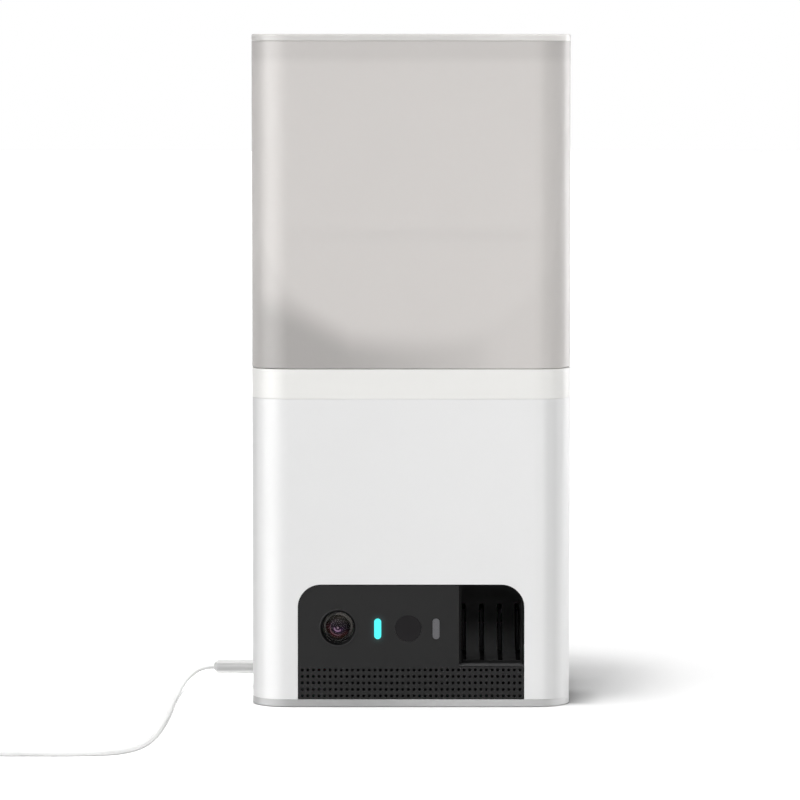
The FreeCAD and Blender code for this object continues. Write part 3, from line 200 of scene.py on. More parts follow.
def radius_from(t, u, v, cu, cv):
    """Distance of (u, v) from (cu, cv)."""
    du, dv = calc(t, "SUBTRACT", u, cu), calc(t, "SUBTRACT", v, cv)
    return calc(t, "SQRT", calc(t, "ADD", calc(t, "MULTIPLY", du, du), calc(t, "MULTIPLY", dv, dv)))


def mixed(t, factor, a, b):
    """Colour a where factor is 0 and b where it is 1; a and b are colours or outputs."""
    n = put(t, "ShaderNodeMix", data_type="RGBA")
    slots = [s for s in n.inputs if s.type == "RGBA"]
    t.links.new(factor, n.inputs["Factor"])
    for socket, v in zip(slots, (a, b)):
        if isinstance(v, tuple):
            socket.default_value = (*v, 1.0)
        else:
            t.links.new(v, socket)
    return [o for o in n.outputs if o.type == "RGBA"][0]


def toned(t, p, factor):
    """Multiplies the shader's present base colour by a grey factor."""
    source = p.inputs["Base Color"].links[0].from_socket
    n = put(t, "ShaderNodeVectorMath", operation="SCALE")
    t.links.new(source, n.inputs[0])
    t.links.new(factor, n.inputs["Scale"])
    t.links.new(n.outputs[0], p.inputs["Base Color"])


def principled(m):
    return next(n for n in m.node_tree.nodes if n.type == "BSDF_PRINCIPLED")


def bump(t, p, height, strength, distance):
    b = put(t, "ShaderNodeBump")
    b.inputs["Strength"].default_value = strength
    b.inputs["Distance"].default_value = distance
    t.links.new(height, b.inputs["Height"])
    t.links.new(b.outputs["Normal"], p.inputs["Normal"])
    return b


def plastic(name, colour, rough, vary=0.02, patch=25.0, grain=2500.0, depth=0.00001,
            strength=0.25, rough_vary=0.04, wave=0.0, **sockets):
    """Moulded plastic: slow colour drift, uneven gloss and a fine moulded
    grain, with an optional slow waviness of the surface."""
    m, t, p, where = shader(name)
    slow = noise(t, where, patch, 2.0)
    fine = noise(t, where, grain, 2.0, 0.6)
    t.links.new(blend_colour(t, slow, scaled(colour, 1 - vary), scaled(colour, 1 + vary)),
                p.inputs["Base Color"])
    mid = noise(t, where, patch * 9, 3.0)
    t.links.new(ranged(t, mid, rough - rough_vary, rough + rough_vary), p.inputs["Roughness"])
    if wave:
        add = put(t, "ShaderNodeMath", operation="MULTIPLY_ADD")
        t.links.new(noise(t, where, 60.0, 1.0), add.inputs[0])
        add.inputs[1].default_value = wave
        t.links.new(fine, add.inputs[2])
        fine = add.outputs[0]
    bump(t, p, fine, strength, depth)
    for k, v in sockets.items():
        p.inputs[k.replace("_", " ")].default_value = v
    return m


def metal(name, colour, rough, stretch=(1, 1, 1), scale=900.0, strength=0.2, **sockets):
    m, t, p, where = shader(name)
    line = noise(t, where, scale, 4.0, 0.6, stretch)
    slow = noise(t, where, 60.0, 2.0)
    t.links.new(blend_colour(t, slow, scaled(colour, 0.9), scaled(colour, 1.06)), p.inputs["Base Color"])
    t.links.new(ranged(t, line, rough * 0.75, rough * 1.3), p.inputs["Roughness"])
    p.inputs["Metallic"].default_value = 1.0
    bump(t, p, line, strength, 0.00001)
    for k, v in sockets.items():
        p.inputs[k.replace("_", " ")].default_value = v
    return m


# ------------------------------------------------------------------ plastics
shell_white = plastic("shell_white", (0.80, 0.80, 0.80), 0.40, vary=0.006, patch=12, grain=3200,
                      depth=0.000006, strength=0.2, wave=0.6)
collar_white = plastic("collar_white", (0.825, 0.82, 0.80), 0.42, vary=0.006, patch=14, grain=3000,
                       depth=0.000006, strength=0.2, wave=0.5)
base_grey = plastic("base_grey", (0.43, 0.43, 0.43), 0.38, vary=0.03, patch=30, grain=2600,
                    depth=0.00001, strength=0.3)
# strengths of the painted highlights on the base's front corners
BASE_RIGHT_HIGHLIGHT, BASE_LEFT_HIGHLIGHT = 1.90, 1.50
# strengths of the painted shade and highlights on the lower housing's corners
SHELL_EDGE_SHADE, SHELL_LOW_HIGHLIGHT, SHELL_TROUGH_SHADE, SHELL_RISE_HIGHLIGHT = 0.85, 0.15, 0.105, 0.15
dark_bore = plastic("kicker_black", (0.012, 0.012, 0.0125), 0.42, vary=0.08, patch=60, grain=2600,
                    depth=0.00001, strength=0.3, Specular_IOR_Level=0.3)
LENS_X, LENS_Z = -0.0291, 0.0319


def at(m):
    """Tree, shader and object coordinates of a finished material."""
    t = m.node_tree
    where = next(n for n in t.nodes if n.type == "TEX_COORD").outputs["Object"]
    return t, principled(m), axes(t, where)


# heights and strengths of the painted light and shade on the outlet liner
CHUTE_Z, CHUTE_PAINTED_LIGHT, RIM_PAINTED_SHADE, SILL_PAINTED_HIGHLIGHT = (0.0340, 0.018), (0.55, 3.8), 0.12, 1.7


def shell_face():
    """Lower housing: white, with painted shade and painted highlights: painted shade at the left front edge and in a
    band inside the right one, painted highlights growing towards the foot of both front corners."""
    t, p, (x, y, z) = at(shell_white)
    # painted shade at the left edge and inside the right corner, painted highlights lower down on both corners
    edge = smooth(t, x, -0.0628, -0.0603, SHELL_EDGE_SHADE, 1.0)
    low = calc(t, "MULTIPLY", calc(t, "MULTIPLY", smooth(t, x, -0.0605, -0.0573),
                                   smooth(t, x, -0.0565, -0.0500, 1.0, 0.0)),
               smooth(t, z, 0.100, 0.0, 0.0, SHELL_LOW_HIGHLIGHT))
    trough_shade = calc(t, "MULTIPLY", smooth(t, x, 0.0517, 0.0550),
                  smooth(t, x, 0.0570, 0.0592, SHELL_TROUGH_SHADE, 0.0))
    rise_highlight = calc(t, "MULTIPLY", smooth(t, x, 0.0583, 0.0611), smooth(t, z, 0.125, 0.035, 0.0, SHELL_RISE_HIGHLIGHT))
    foot = calc(t, "MULTIPLY", smooth(t, x, 0.030, 0.044), smooth(t, z, 0.045, 0.005, 0.0, 0.05))
    tone = calc(t, "ADD", calc(t, "SUBTRACT", calc(t, "ADD", low, rise_highlight), trough_shade), foot)
    tone = calc(t, "ADD", calc(t, "SUBTRACT", edge, 1.0), tone)
    toned(t, p, calc(t, "MULTIPLY_ADD", tone, smooth(t, y, -0.030, -0.050), 1.0))
    return shell_white


def base_face():
    """Base moulding: grey, with painted highlights at the front corners, painted shade at the far left edge and
    painted light rising from left to right.
    """
    t, p, (x, y, z) = at(base_grey)
    # painted highlights at the corners, painted shade at the far left edge
    right = smooth(t, x, 0.0530, 0.0635, 1.0, BASE_RIGHT_HIGHLIGHT)
    left = calc(t, "MULTIPLY", smooth(t, x, -0.0465, -0.0590, 1.0, BASE_LEFT_HIGHLIGHT), smooth(t, x, -0.0590, -0.0625, 1.0, 0.72))
    tone = calc(t, "MULTIPLY", calc(t, "MULTIPLY", right, left), smooth(t, x, -0.022, 0.022, 0.93, 1.20))
    front = smooth(t, y, -0.030, -0.050)
    toned(t, p, calc(t, "MULTIPLY_ADD", calc(t, "SUBTRACT", tone, 1.0), front, 1.0))
    return base_grey


def chute_face():
    """Outlet liner: black, with painted light on the lower end of the ramp, painted shade higher up and on the rim of
    the mouth, and a painted highlight along the edge of the sill."""
    m = plastic("chute_black", (0.030, 0.030, 0.0305), 0.45, vary=0.06, patch=60, grain=2600,
                depth=0.00001, strength=0.3, Specular_IOR_Level=0.05)
    t, p, (x, y, z) = at(m)
    # painted light towards the lower ramp, painted shade towards the top
    ramp_painted_light = smooth(t, z, CHUTE_Z[0], CHUTE_Z[1], CHUTE_PAINTED_LIGHT[0], CHUTE_PAINTED_LIGHT[1])
    ramp_painted_light = calc(t, "MULTIPLY", ramp_painted_light, smooth(t, z, 0.037, 0.041, 1.0, 0.65))
    # in front of the ramp only the edge of the sill gets the painted highlight, the rest of the rim painted shade
    ramp = smooth(t, y, -0.0560, -0.0530)
    front = calc(t, "LESS_THAN", y, -0.0640)
    plain = calc(t, "MULTIPLY_ADD", front, RIM_PAINTED_SHADE - 0.7, 0.7)
    tone = calc(t, "ADD", calc(t, "MULTIPLY", ramp_painted_light, ramp),
                calc(t, "MULTIPLY", plain, calc(t, "SUBTRACT", 1.0, ramp)))
    sill = calc(t, "MULTIPLY", calc(t, "LESS_THAN", z, 0.01745), front)
    toned(t, p, calc(t, "MAXIMUM", tone, calc(t, "MULTIPLY", sill, SILL_PAINTED_HIGHLIGHT)))
    return m


def trim_ring():
    """Trim ring: the lip has the panel's satin finish, the cone that runs
    down to the glass is matt black."""
    m = plastic("trim_black", (0.034, 0.034, 0.0345), 0.45, vary=0.05, patch=200, grain=4000,
                depth=0.000004, strength=0.15, rough_vary=0.03, Specular_IOR_Level=0.03)
    t, p, (x, y, z) = at(m)
    r = radius_from(t, x, z, LENS_X, LENS_Z)
    toned(t, p, smooth(t, r, 0.00698, 0.00706, 0.10, 1.0))
    return m


def barrel_face():
    """Lens barrel: satin grey cone round the front element, with painted light making it lighter above than below,
    dark bore."""
    m = plastic("barrel_grey", (0.116, 0.110, 0.102), 0.45, vary=0.08, patch=300, grain=3000,
                depth=0.000006, strength=0.2, Specular_IOR_Level=0.02)
    t, p, (x, y, z) = at(m)
    r = radius_from(t, x, z, LENS_X, LENS_Z)
    # painted light: lighter above the lens than below it
    up = smooth(t, calc(t, "SUBTRACT", z, LENS_Z), -0.0055, 0.0010, 0.13, 1.0)
    edge = smooth(t, r, 0.00515, 0.00545, 0.45, 1.0)
    edge = calc(t, "MULTIPLY", edge, smooth(t, r, 0.00493, 0.00508, 0.06, 1.0))
    toned(t, p, calc(t, "MULTIPLY", up, edge))
    return m


frame_dark = plastic("frame_dark", (0.035, 0.035, 0.037), 0.5, vary=0.08, patch=50, grain=1800,
                     depth=0.00002, strength=0.4)
gear_white = plastic("gear_white", (0.74, 0.73, 0.69), 0.36, vary=0.03, patch=60, grain=1500,
                     depth=0.00001, strength=0.3, Subsurface_Weight=0.05)


def plug_face():
    """Overmould: painted light and shade, with a painted-shade greyer middle and painted highlights towards its upper
    and lower faces and at its tip.
    """
    m = plastic("plug_white", (0.60, 0.60, 0.595), 0.40, vary=0.01, patch=60, grain=2600,
                depth=0.00001, strength=0.25)
    t, p, (x, y, z) = at(m)
    # painted highlights above and below, painted shade in the middle
    above = calc(t, "SUBTRACT", smooth(t, z, 0.0101, 0.0109, 0.0, 0.62), smooth(t, z, 0.0094, 0.0100, 0.0, 0.16))
    below = smooth(t, z, 0.0079, 0.0066, 0.0, 0.62)
    near = calc(t, "GREATER_THAN", y, -0.1)
    tip = smooth(t, x, -0.0793, -0.0798, 0.0, 0.30)
    plug_painted_light = calc(t, "SUBTRACT", calc(t, "ADD", calc(t, "ADD", above, below), tip), 0.16)
    plug_painted_light = calc(t, "MINIMUM", plug_painted_light, 0.60)
    toned(t, p, calc(t, "MULTIPLY_ADD", plug_painted_light, near, 1.0))
    return m


plug_white = plug_face()


def lead_face():
    """Lead: soft white jacket, with painted shade along its lower right side."""
    m = plastic("lead_white", (0.90, 0.90, 0.895), 0.48, vary=0.015, patch=90, grain=1900,
                depth=0.00001, strength=0.3)
    t, p, (x, y, z) = at(m)
    nx, ny, nz = axes(t, next(n for n in t.nodes if n.type == "TEX_COORD").outputs["Normal"])
    # painted shade on the lower right side of the lead
    low = calc(t, "ADD", calc(t, "MULTIPLY", nx, 0.6), calc(t, "MULTIPLY", nz, -0.55))
    low = calc(t, "MULTIPLY", smooth(t, low, -0.35, 0.35), smooth(t, y, -0.150, -0.110))
    toned(t, p, calc(t, "MULTIPLY_ADD", low, LEAD_PAINTED_SHADE - 1.0, 1.0))
    return m


# strength of the painted shade on the lead
LEAD_PAINTED_SHADE = 0.75
lead_white = lead_face()
tie_white = plastic("tie_white", (0.72, 0.72, 0.71), 0.5, vary=0.03, patch=120, grain=1500,
                    depth=0.00002, strength=0.4)
button_white = plastic("button_white", (0.76, 0.76, 0.76), 0.34, vary=0.01, patch=80, grain=2600,
                       depth=0.000008, strength=0.25)
window_dark = plastic("window_dark", (0.0125, 0.0115, 0.0125), 0.12, vary=0.1, patch=150, grain=3000,
                      depth=0.000002, strength=0.08, rough_vary=0.02, Specular_IOR_Level=0.09)
led_clear = plastic("led_clear", (0.75, 0.78, 0.72), 0.18, vary=0.03, patch=300, grain=3000,
                    depth=0.000004, strength=0.15, Subsurface_Weight=0.2)
silicone_white = plastic("silicone_white", (0.70, 0.70, 0.68), 0.55, vary=0.02, patch=80, grain=1400,
                         depth=0.00002, strength=0.35, Subsurface_Weight=0.1)


def translucent(name, colour, alpha, rough, vary=0.012):
    """Smoked translucent polymer: a single see-through shader with a fine
    satin grain."""
    m = plastic(name, colour, rough, vary=vary, patch=9, grain=2600, depth=0.000006,
                strength=0.2, rough_vary=0.03)
    principled(m).inputs["Alpha"].default_value = alpha
    return m


BOWL_RX, BOWL_RY, BOWL_LOW = 0.0625, 0.0645, 0.1434
# strengths of the painted shade on the container wall
FAINT_SHADE, HOLLOW_SHADE, SKIRT_SHADE, CORNER_SHADE = 0.075, 0.30, 0.09, 0.88


def container_wall():
    """Frosted wall with painted shade in its colour for what stands behind it: a little deeper below the line where
    the bowl meets the wall, much deeper in the hollow under it on the left, along the band where the lid's skirt
    hangs inside, and towards both side corners."""
    m = translucent("container_smoke", (0.738, 0.708, 0.688), 0.82, 0.42)
    t, p, (x, y, z) = at(m)
    # painted shade below the line where the bowl meets the wall
    mx = calc(t, "DIVIDE", calc(t, "ABSOLUTE", x), BOWL_RX)
    my = calc(t, "DIVIDE", calc(t, "ABSOLUTE", y), BOWL_RY)
    reach = calc(t, "MINIMUM", calc(t, "MINIMUM", mx, my), 0.94)
    drop = calc(t, "SQRT", calc(t, "SUBTRACT", 1.0, calc(t, "MULTIPLY", reach, reach)))
    line = calc(t, "MULTIPLY_ADD", drop, -BOWL_RX - 0.001, BOWL_LOW + BOWL_RX + 0.001)
    under = smooth(t, calc(t, "SUBTRACT", line, z), -0.006, 0.006)
    # painted shade of the hollow: its upper line falls from the left corner towards the middle
    slope = calc(t, "MULTIPLY_ADD", x, -0.527, 0.1313)
    slope = calc(t, "MINIMUM", calc(t, "MAXIMUM", slope, 0.1438), 0.1590)
    hollow = smooth(t, calc(t, "SUBTRACT", slope, z), -0.010, 0.006)
    depth = calc(t, "MULTIPLY_ADD", x, -14.7, 0.56)
    depth = calc(t, "MINIMUM", calc(t, "MAXIMUM", depth, 0.0), 1.0)
    depth = calc(t, "MULTIPLY", depth, smooth(t, x, -0.0630, -0.0560, 0.2, 1.0))
    faint = smooth(t, x, 0.024, 0.034, FAINT_SHADE, FAINT_SHADE * 0.5)
    shade = calc(t, "SUBTRACT", 1.0, calc(t, "MULTIPLY", under, faint))
    shade = calc(t, "SUBTRACT", shade, calc(t, "MULTIPLY", calc(t, "MULTIPLY", hollow, depth), HOLLOW_SHADE))
    band = smooth(t, z, 0.2553, 0.2600, 1.0, 1.0 - SKIRT_SHADE)
    # painted shade towards both side corners
    side = calc(t, "MULTIPLY", smooth(t, x, -0.0560, -0.0505, CORNER_SHADE, 1.0), smooth(t, x, 0.0500, 0.0540, 1.0, 0.94))
    toned(t, p, calc(t, "MULTIPLY", calc(t, "MULTIPLY", shade, band), side))
    return m


container_smoke = container_wall()
container_floor = translucent("container_floor", (0.66, 0.635, 0.615), 0.85, 0.40)


def lid_face():
    """Lid: the same frosted polymer, with a painted highlight towards its right side and painted shade on its top
    face, which is also duller."""
    m = translucent("lid_frost", (0.74, 0.725, 0.705), 0.85, 0.36)
    t, p, (x, y, z) = at(m)
    up = axes(t, next(n for n in t.nodes if n.type == "TEX_COORD").outputs["Normal"])[2]
    # painted highlight towards the right side, painted shade on the top face
    right_painted_highlight = calc(t, "MULTIPLY", smooth(t, x, 0.005, 0.045, 1.0, 1.10), smooth(t, x, 0.052, 0.060, 1.0, 1.20))
    toned(t, p, calc(t, "MULTIPLY", right_painted_highlight, smooth(t, up, 0.80, 0.98, 1.0, 0.80)))
    gloss = p.inputs["Roughness"].links[0].from_socket
    t.links.new(calc(t, "MULTIPLY", gloss, smooth(t, up, 0.80, 0.98, 1.0, 2.3)), p.inputs["Roughness"])
    p.inputs["Specular IOR Level"].default_value = 0.30
    return m


lid_frost = lid_face()
skirt_frost = translucent("skirt_frost", (0.62, 0.62, 0.60), 0.75, 0.38)

# ------------------------------------------------------------------ metals
steel = metal("steel", (0.62, 0.62, 0.63), 0.28, stretch=(1, 12, 12))
zinc = metal("zinc", (0.66, 0.67, 0.70), 0.34, scale=1500, strength=0.3)
brass = metal("brass", (0.78, 0.60, 0.30), 0.30, scale=1200)
plated = metal("plated", (0.72, 0.72, 0.73), 0.22, stretch=(10, 1, 1), scale=700)


# ------------------------------------------------------------------ soft, printed and optical pieces
def foam():
    m, t, p, where = shader("foam_black")
    v = put(t, "ShaderNodeTexVoronoi")
    v.inputs["Scale"].default_value = 1600.0
    t.links.new(where, v.inputs["Vector"])
    t.links.new(blend_colour(t, v.outputs["Distance"], (0.006, 0.006, 0.006), (0.03, 0.03, 0.031)),
                p.inputs["Base Color"])
    p.inputs["Roughness"].default_value = 0.95
    bump(t, p, v.outputs["Distance"], 0.6, 0.0001)
    return m


def rubber():
    m, t, p, where = shader("pad_grey")
    f = noise(t, where, 1200.0, 4.0, 0.7)
    t.links.new(blend_colour(t, f, (0.14, 0.14, 0.14), (0.24, 0.24, 0.24)), p.inputs["Base Color"])
    t.links.new(ranged(t, f, 0.7, 0.92), p.inputs["Roughness"])
    bump(t, p, f, 0.5, 0.00004)
    return m


def board(name, dark, light, plane):
    """Printed board: lacquer over tracks, with pads and holes."""
    m, t, p, where = shader(name)
    turn = put(t, "ShaderNodeMapping")
    turn.inputs["Rotation"].default_value = plane
    t.links.new(where, turn.inputs["Vector"])
    w = turn.outputs["Vector"]
    b = put(t, "ShaderNodeTexBrick", offset=0.5, squash=1.0)
    b.inputs["Scale"].default_value = 420.0
    b.inputs["Color1"].default_value = (*dark, 1)
    b.inputs["Color2"].default_value = (*light, 1)
    b.inputs["Mortar"].default_value = (*scaled(light, 1.5), 1)
    b.inputs["Mortar Size"].default_value = 0.05
    t.links.new(w, b.inputs["Vector"])
    v = put(t, "ShaderNodeTexVoronoi")
    v.inputs["Scale"].default_value = 260.0
    t.links.new(w, v.inputs["Vector"])
    pad = ranged(t, v.outputs["Distance"], 1.0, 0.0, 0.10, 0.16)
    mix = put(t, "ShaderNodeMix", data_type="RGBA")
    sockets = [s for s in mix.inputs if s.type == "RGBA"]
    t.links.new(pad, mix.inputs["Factor"])
    t.links.new(b.outputs["Color"], sockets[0])
    sockets[1].default_value = (0.62, 0.60, 0.52, 1)
    t.links.new([o for o in mix.outputs if o.type == "RGBA"][0], p.inputs["Base Color"])
    t.links.new(pad, p.inputs["Metallic"])
    t.links.new(ranged(t, noise(t, w, 900), 0.22, 0.36), p.inputs["Roughness"])
    bump(t, p, b.outputs["Fac"], 0.3, 0.00003)
    return m


def chips():
    m, t, p, where = shader("chip_black")
    f = noise(t, where, 2600.0, 3.0, 0.6)
    t.links.new(blend_colour(t, f, (0.014, 0.014, 0.015), (0.03, 0.03, 0.032)), p.inputs["Base Color"])
    t.links.new(ranged(t, f, 0.5, 0.7), p.inputs["Roughness"])
    bump(t, p, f, 0.4, 0.00002)
    return m


def ribbon():
    m, t, p, where = shader("ribbon_tan")
    w = put(t, "ShaderNodeTexWave", wave_type="BANDS", bands_direction="X")
    w.inputs["Scale"].default_value = 520.0
    w.inputs["Distortion"].default_value = 0.0
    t.links.new(where, w.inputs["Vector"])
    t.links.new(blend_colour(t, w.outputs["Fac"], (0.42, 0.20, 0.05), (0.66, 0.40, 0.14)), p.inputs["Base Color"])
    t.links.new(ranged(t, noise(t, where, 700), 0.28, 0.42), p.inputs["Roughness"])
    bump(t, p, w.outputs["Fac"], 0.3, 0.00002)
    return m


def wires():
    m, t, p, where = shader("wire_red")
    f = noise(t, where, 800.0, 2.0)
    t.links.new(blend_colour(t, f, (0.42, 0.02, 0.015), (0.55, 0.035, 0.025)), p.inputs["Base Color"])
    t.links.new(ranged(t, f, 0.35, 0.5), p.inputs["Roughness"])
    bump(t, p, f, 0.2, 0.00001)
    return m


def lit():
    m, t, p, where = shader("light_cyan")
    f = noise(t, where, 500.0, 2.0)
    t.links.new(blend_colour(t, f, (0.05, 0.98, 0.98), (0.06, 1.0, 1.0)), p.inputs["Emission Color"])
    p.inputs["Base Color"].default_value = (0.02, 0.10, 0.10, 1)
    p.inputs["Emission Strength"].default_value = 1.0
    t.links.new(ranged(t, noise(t, where, 2500), 0.25, 0.35), p.inputs["Roughness"])
    return m


light_grey = plastic("light_grey", (0.105, 0.105, 0.112), 0.3, vary=0.03, patch=400, grain=3000,
                     depth=0.000004, strength=0.15)


def lens_glass():
    """Coated front element with painted reflections: a brown-grey painted reflection above, black in the middle, and
    painted violet and red crescents and a glint below the middle."""
    m, t, p, where = shader("lens_glass")
    x, y, z = axes(t, where)
    u, v = calc(t, "SUBTRACT", x, LENS_X), calc(t, "SUBTRACT", z, LENS_Z)
    wobble = calc(t, "MULTIPLY_ADD", noise(t, where, 420.0, 2.0), 0.0008, -0.0004)
    r = radius_from(t, u, v, 0.0, 0.0)
    # painted reflection on the body: dark middle, brown-grey reflection above
    tone = mixed(t, smooth(t, calc(t, "ADD", v, wobble), 0.0002, 0.0046), (0.0030, 0.0022, 0.0034),
                 (0.036, 0.033, 0.028))
    # painted reflections: red low on the left, orange low on the right
    low = smooth(t, calc(t, "MULTIPLY_ADD", u, 0.45, v), 0.0010, -0.0028)
    glow = calc(t, "MULTIPLY", low, smooth(t, r, 0.0026, 0.0040))
    tone = mixed(t, glow, tone, (0.036, 0.009, 0.011))
    right = calc(t, "MULTIPLY", smooth(t, u, 0.0002, 0.0020), smooth(t, v, -0.0028, -0.0042))
    tone = mixed(t, right, tone, (0.022, 0.009, 0.002))
    # painted violet reflection round the middle
    violet_reflection = calc(t, "MULTIPLY", smooth(t, r, 0.0032, 0.0016), smooth(t, v, 0.0002, -0.0014))
    tone = mixed(t, violet_reflection, tone, (0.012, 0.002, 0.017))

    def painted_crescent(tone, radius, half, cu, cv, cut, colour):
        """Painted reflection arc about (cu, cv), seen where u * cut[0] + v * cut[1] is past cut[2]."""
        ring = calc(t, "ABSOLUTE", calc(t, "SUBTRACT", radius_from(t, u, v, cu, cv), radius))
        side = calc(t, "ADD", calc(t, "MULTIPLY", u, cut[0]), calc(t, "MULTIPLY", v, cut[1]))
        seen = calc(t, "MULTIPLY", smooth(t, ring, half, 0.0), smooth(t, side, cut[2], cut[3]))
        return mixed(t, seen, tone, colour)

    tone = painted_crescent(tone, 0.0046, 0.00032, 0, 0, (-0.50, -0.87, 0.0024, 0.0044), (0.085, 0.062, 0.045))
    tone = painted_crescent(tone, 0.00325, 0.00034, 0, -0.00025, (-0.60, -0.80, 0.0006, 0.0026), (0.155, 0.075, 0.095))
    tone = painted_crescent(tone, 0.00140, 0.00045, -0.00012, -0.00040, (-0.35, -0.93, 0.0005, 0.0013), (0.25, 0.155, 0.25))
    # painted glint just below the middle
    painted_glint = radius_from(t, u, v, -0.00015, -0.00045)
    tone = mixed(t, smooth(t, painted_glint, 0.00060, 0.0001), tone, (0.22, 0.165, 0.205))
    t.links.new(tone, p.inputs["Base Color"])
    t.links.new(ranged(t, noise(t, where, 900), 0.06, 0.10), p.inputs["Roughness"])
    p.inputs["IOR"].default_value = 1.5
    p.inputs["Specular IOR Level"].default_value = 0.12
    p.inputs["Specular Tint"].default_value = (0.85, 0.60, 0.95, 1)
    return m


def cover_glass():
    """Coated flat glass: it reflects very little and lets lamps through."""
    m, t, p, where = shader("clear_glass")
    t.links.new(ranged(t, noise(t, where, 600), 0.0, 0.02), p.inputs["Roughness"])
    p.inputs["Base Color"].default_value = (0.98, 0.98, 0.98, 1)
    p.inputs["Transmission Weight"].default_value = 1.0
    p.inputs["IOR"].default_value = 1.12
    clear = put(t, "ShaderNodeBsdfTransparent")
    clear.inputs["Color"].default_value = (0.96, 0.96, 0.96, 1)
    path, join = put(t, "ShaderNodeLightPath"), put(t, "ShaderNodeMixShader")
    t.links.new(path.outputs["Is Shadow Ray"], join.inputs[0])
    t.links.new(p.outputs["BSDF"], join.inputs[1])
    t.links.new(clear.outputs[0], join.inputs[2])
    end = next(n for n in t.nodes if n.type == "OUTPUT_MATERIAL")
    t.links.new(join.outputs[0], end.inputs["Surface"])
    return m


def panel_face():
    """The panel's own black, with a painted cyan glow, drawn as emission, round the lit light pipe over the first two
    millimetres."""
    m = plastic("panel_black", (0.0143, 0.0143, 0.0144), 0.45, vary=0.04, patch=40, grain=3800,
                depth=0.00001, strength=0.3, Specular_IOR_Level=0.17)
    t, p, (x, y, z) = at(m)
    # distance from the middle line of the lit pipe
    du = calc(t, "SUBTRACT", x, -0.0133)
    past = calc(t, "MAXIMUM", calc(t, "SUBTRACT", calc(t, "ABSOLUTE", calc(t, "SUBTRACT", z, 0.0314)), 0.00275), 0.0)
    away = calc(t, "SQRT", calc(t, "ADD", calc(t, "MULTIPLY", du, du), calc(t, "MULTIPLY", past, past)))
    # painted glow: the panel itself emits cyan near the pipe
    painted_spill = calc(t, "POWER", math.e, calc(t, "MULTIPLY", calc(t, "SUBTRACT", away, 0.00135), -1 / 0.0007))
    painted_spill = calc(t, "MULTIPLY", calc(t, "MINIMUM", painted_spill, 1.0), smooth(t, away, 0.0045, 0.0030))
    p.inputs["Emission Color"].default_value = (0.30, 1.0, 1.0, 1)
    t.links.new(calc(t, "MULTIPLY", painted_spill, 0.045), p.inputs["Emission Strength"])
    return m


MATERIALS = {
    "base_plate": base_face(), "foot_pads": rubber(), "base_screws": zinc, "chassis_screws": zinc,
    "small_screws": zinc, "lower_housing": shell_face(), "collar_cap": collar_white,
    "front_bezel": panel_face(), "camera_ring": trim_ring(), "camera_cover_glass": cover_glass(),
    "camera_barrel": barrel_face(), "camera_lens": lens_glass(),
    "camera_sensor_board": board("sensor_board", (0.012, 0.10, 0.035), (0.02, 0.16, 0.06), (math.pi / 2, 0, 0)),
    "status_light_guide": lit(), "second_light_guide": light_grey, "infrared_window": window_dark,
    "front_board": board("front_board", (0.012, 0.10, 0.035), (0.02, 0.16, 0.06), (math.pi / 2, 0, 0)),
    "front_leds": led_clear, "speaker_gasket": foam(), "speaker_driver": frame_dark,
    "treat_chute": chute_face(), "drop_duct": frame_dark, "launcher_bracket": frame_dark,
    "launch_motor": plated, "launch_motor_shaft": steel, "launch_pinion": brass,
    "kicker_gear": gear_white, "kicker_shaft": steel, "kicker_arm": dark_bore,
    "kicker_spring": steel, "feeder_deck": frame_dark, "feeder_cup": frame_dark,
    "rotor_axle": steel, "feed_rotor": gear_white, "feed_pinion": brass,
    "feed_motor_shaft": steel, "feed_motor": plated,
    "main_board": board("main_board", (0.010, 0.085, 0.03), (0.018, 0.14, 0.05), (math.pi / 2, 0, 0)),
    "main_chips": chips(), "reset_button": button_white, "button_spring": steel,
    "button_switch": chips(), "power_socket": plated,
    "socket_board": board("socket_board", (0.012, 0.10, 0.035), (0.02, 0.16, 0.06), (0, 0, 0)),
    "camera_ribbon": ribbon(), "wiring_leads": wires(), "hopper_shell": container_smoke,
    "hopper_funnel": container_floor, "lid_panel": lid_frost, "lid_skirt": skirt_frost,
    "lid_seal": silicone_white, "plug_body": plug_white, "plug_shell": plated,
    "power_cord": lead_white, "power_cord_end": lead_white, "power_cord_coil": lead_white,
    "cord_tie": tie_white, "supply_plug_body": plug_white, "supply_plug_shell": plated,
}
for name, made in MATERIALS.items():
    data = nodes[name].data
    data.materials.clear()
    data.materials.append(made)

lead_curve.materials.append(lead_white)
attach(lead, "base")
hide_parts("power_cord", "power_cord_end", "power_cord_coil")

# ------------------------------------------------------------------ floor, background and light
floor_mesh = bpy.data.meshes.new("floor")
bm = bmesh.new()
bmesh.ops.create_grid(bm, x_segments=8, y_segments=8, size=9.0)
bm.to_mesh(floor_mesh)
bm.free()
floor = bpy.data.objects.new("floor", floor_mesh)
floor.location = (0, 0, -0.00005)
scene.collection.objects.link(floor)
m = bpy.data.materials.new("floor_white")
m.use_nodes = True
t = m.node_tree
t.nodes.clear()
out = t.nodes.new("ShaderNodeOutputMaterial")
d1 = t.nodes.new("ShaderNodeBsdfDiffuse")
d1.inputs["Color"].default_value = (0.96, 0.96, 0.96, 1)
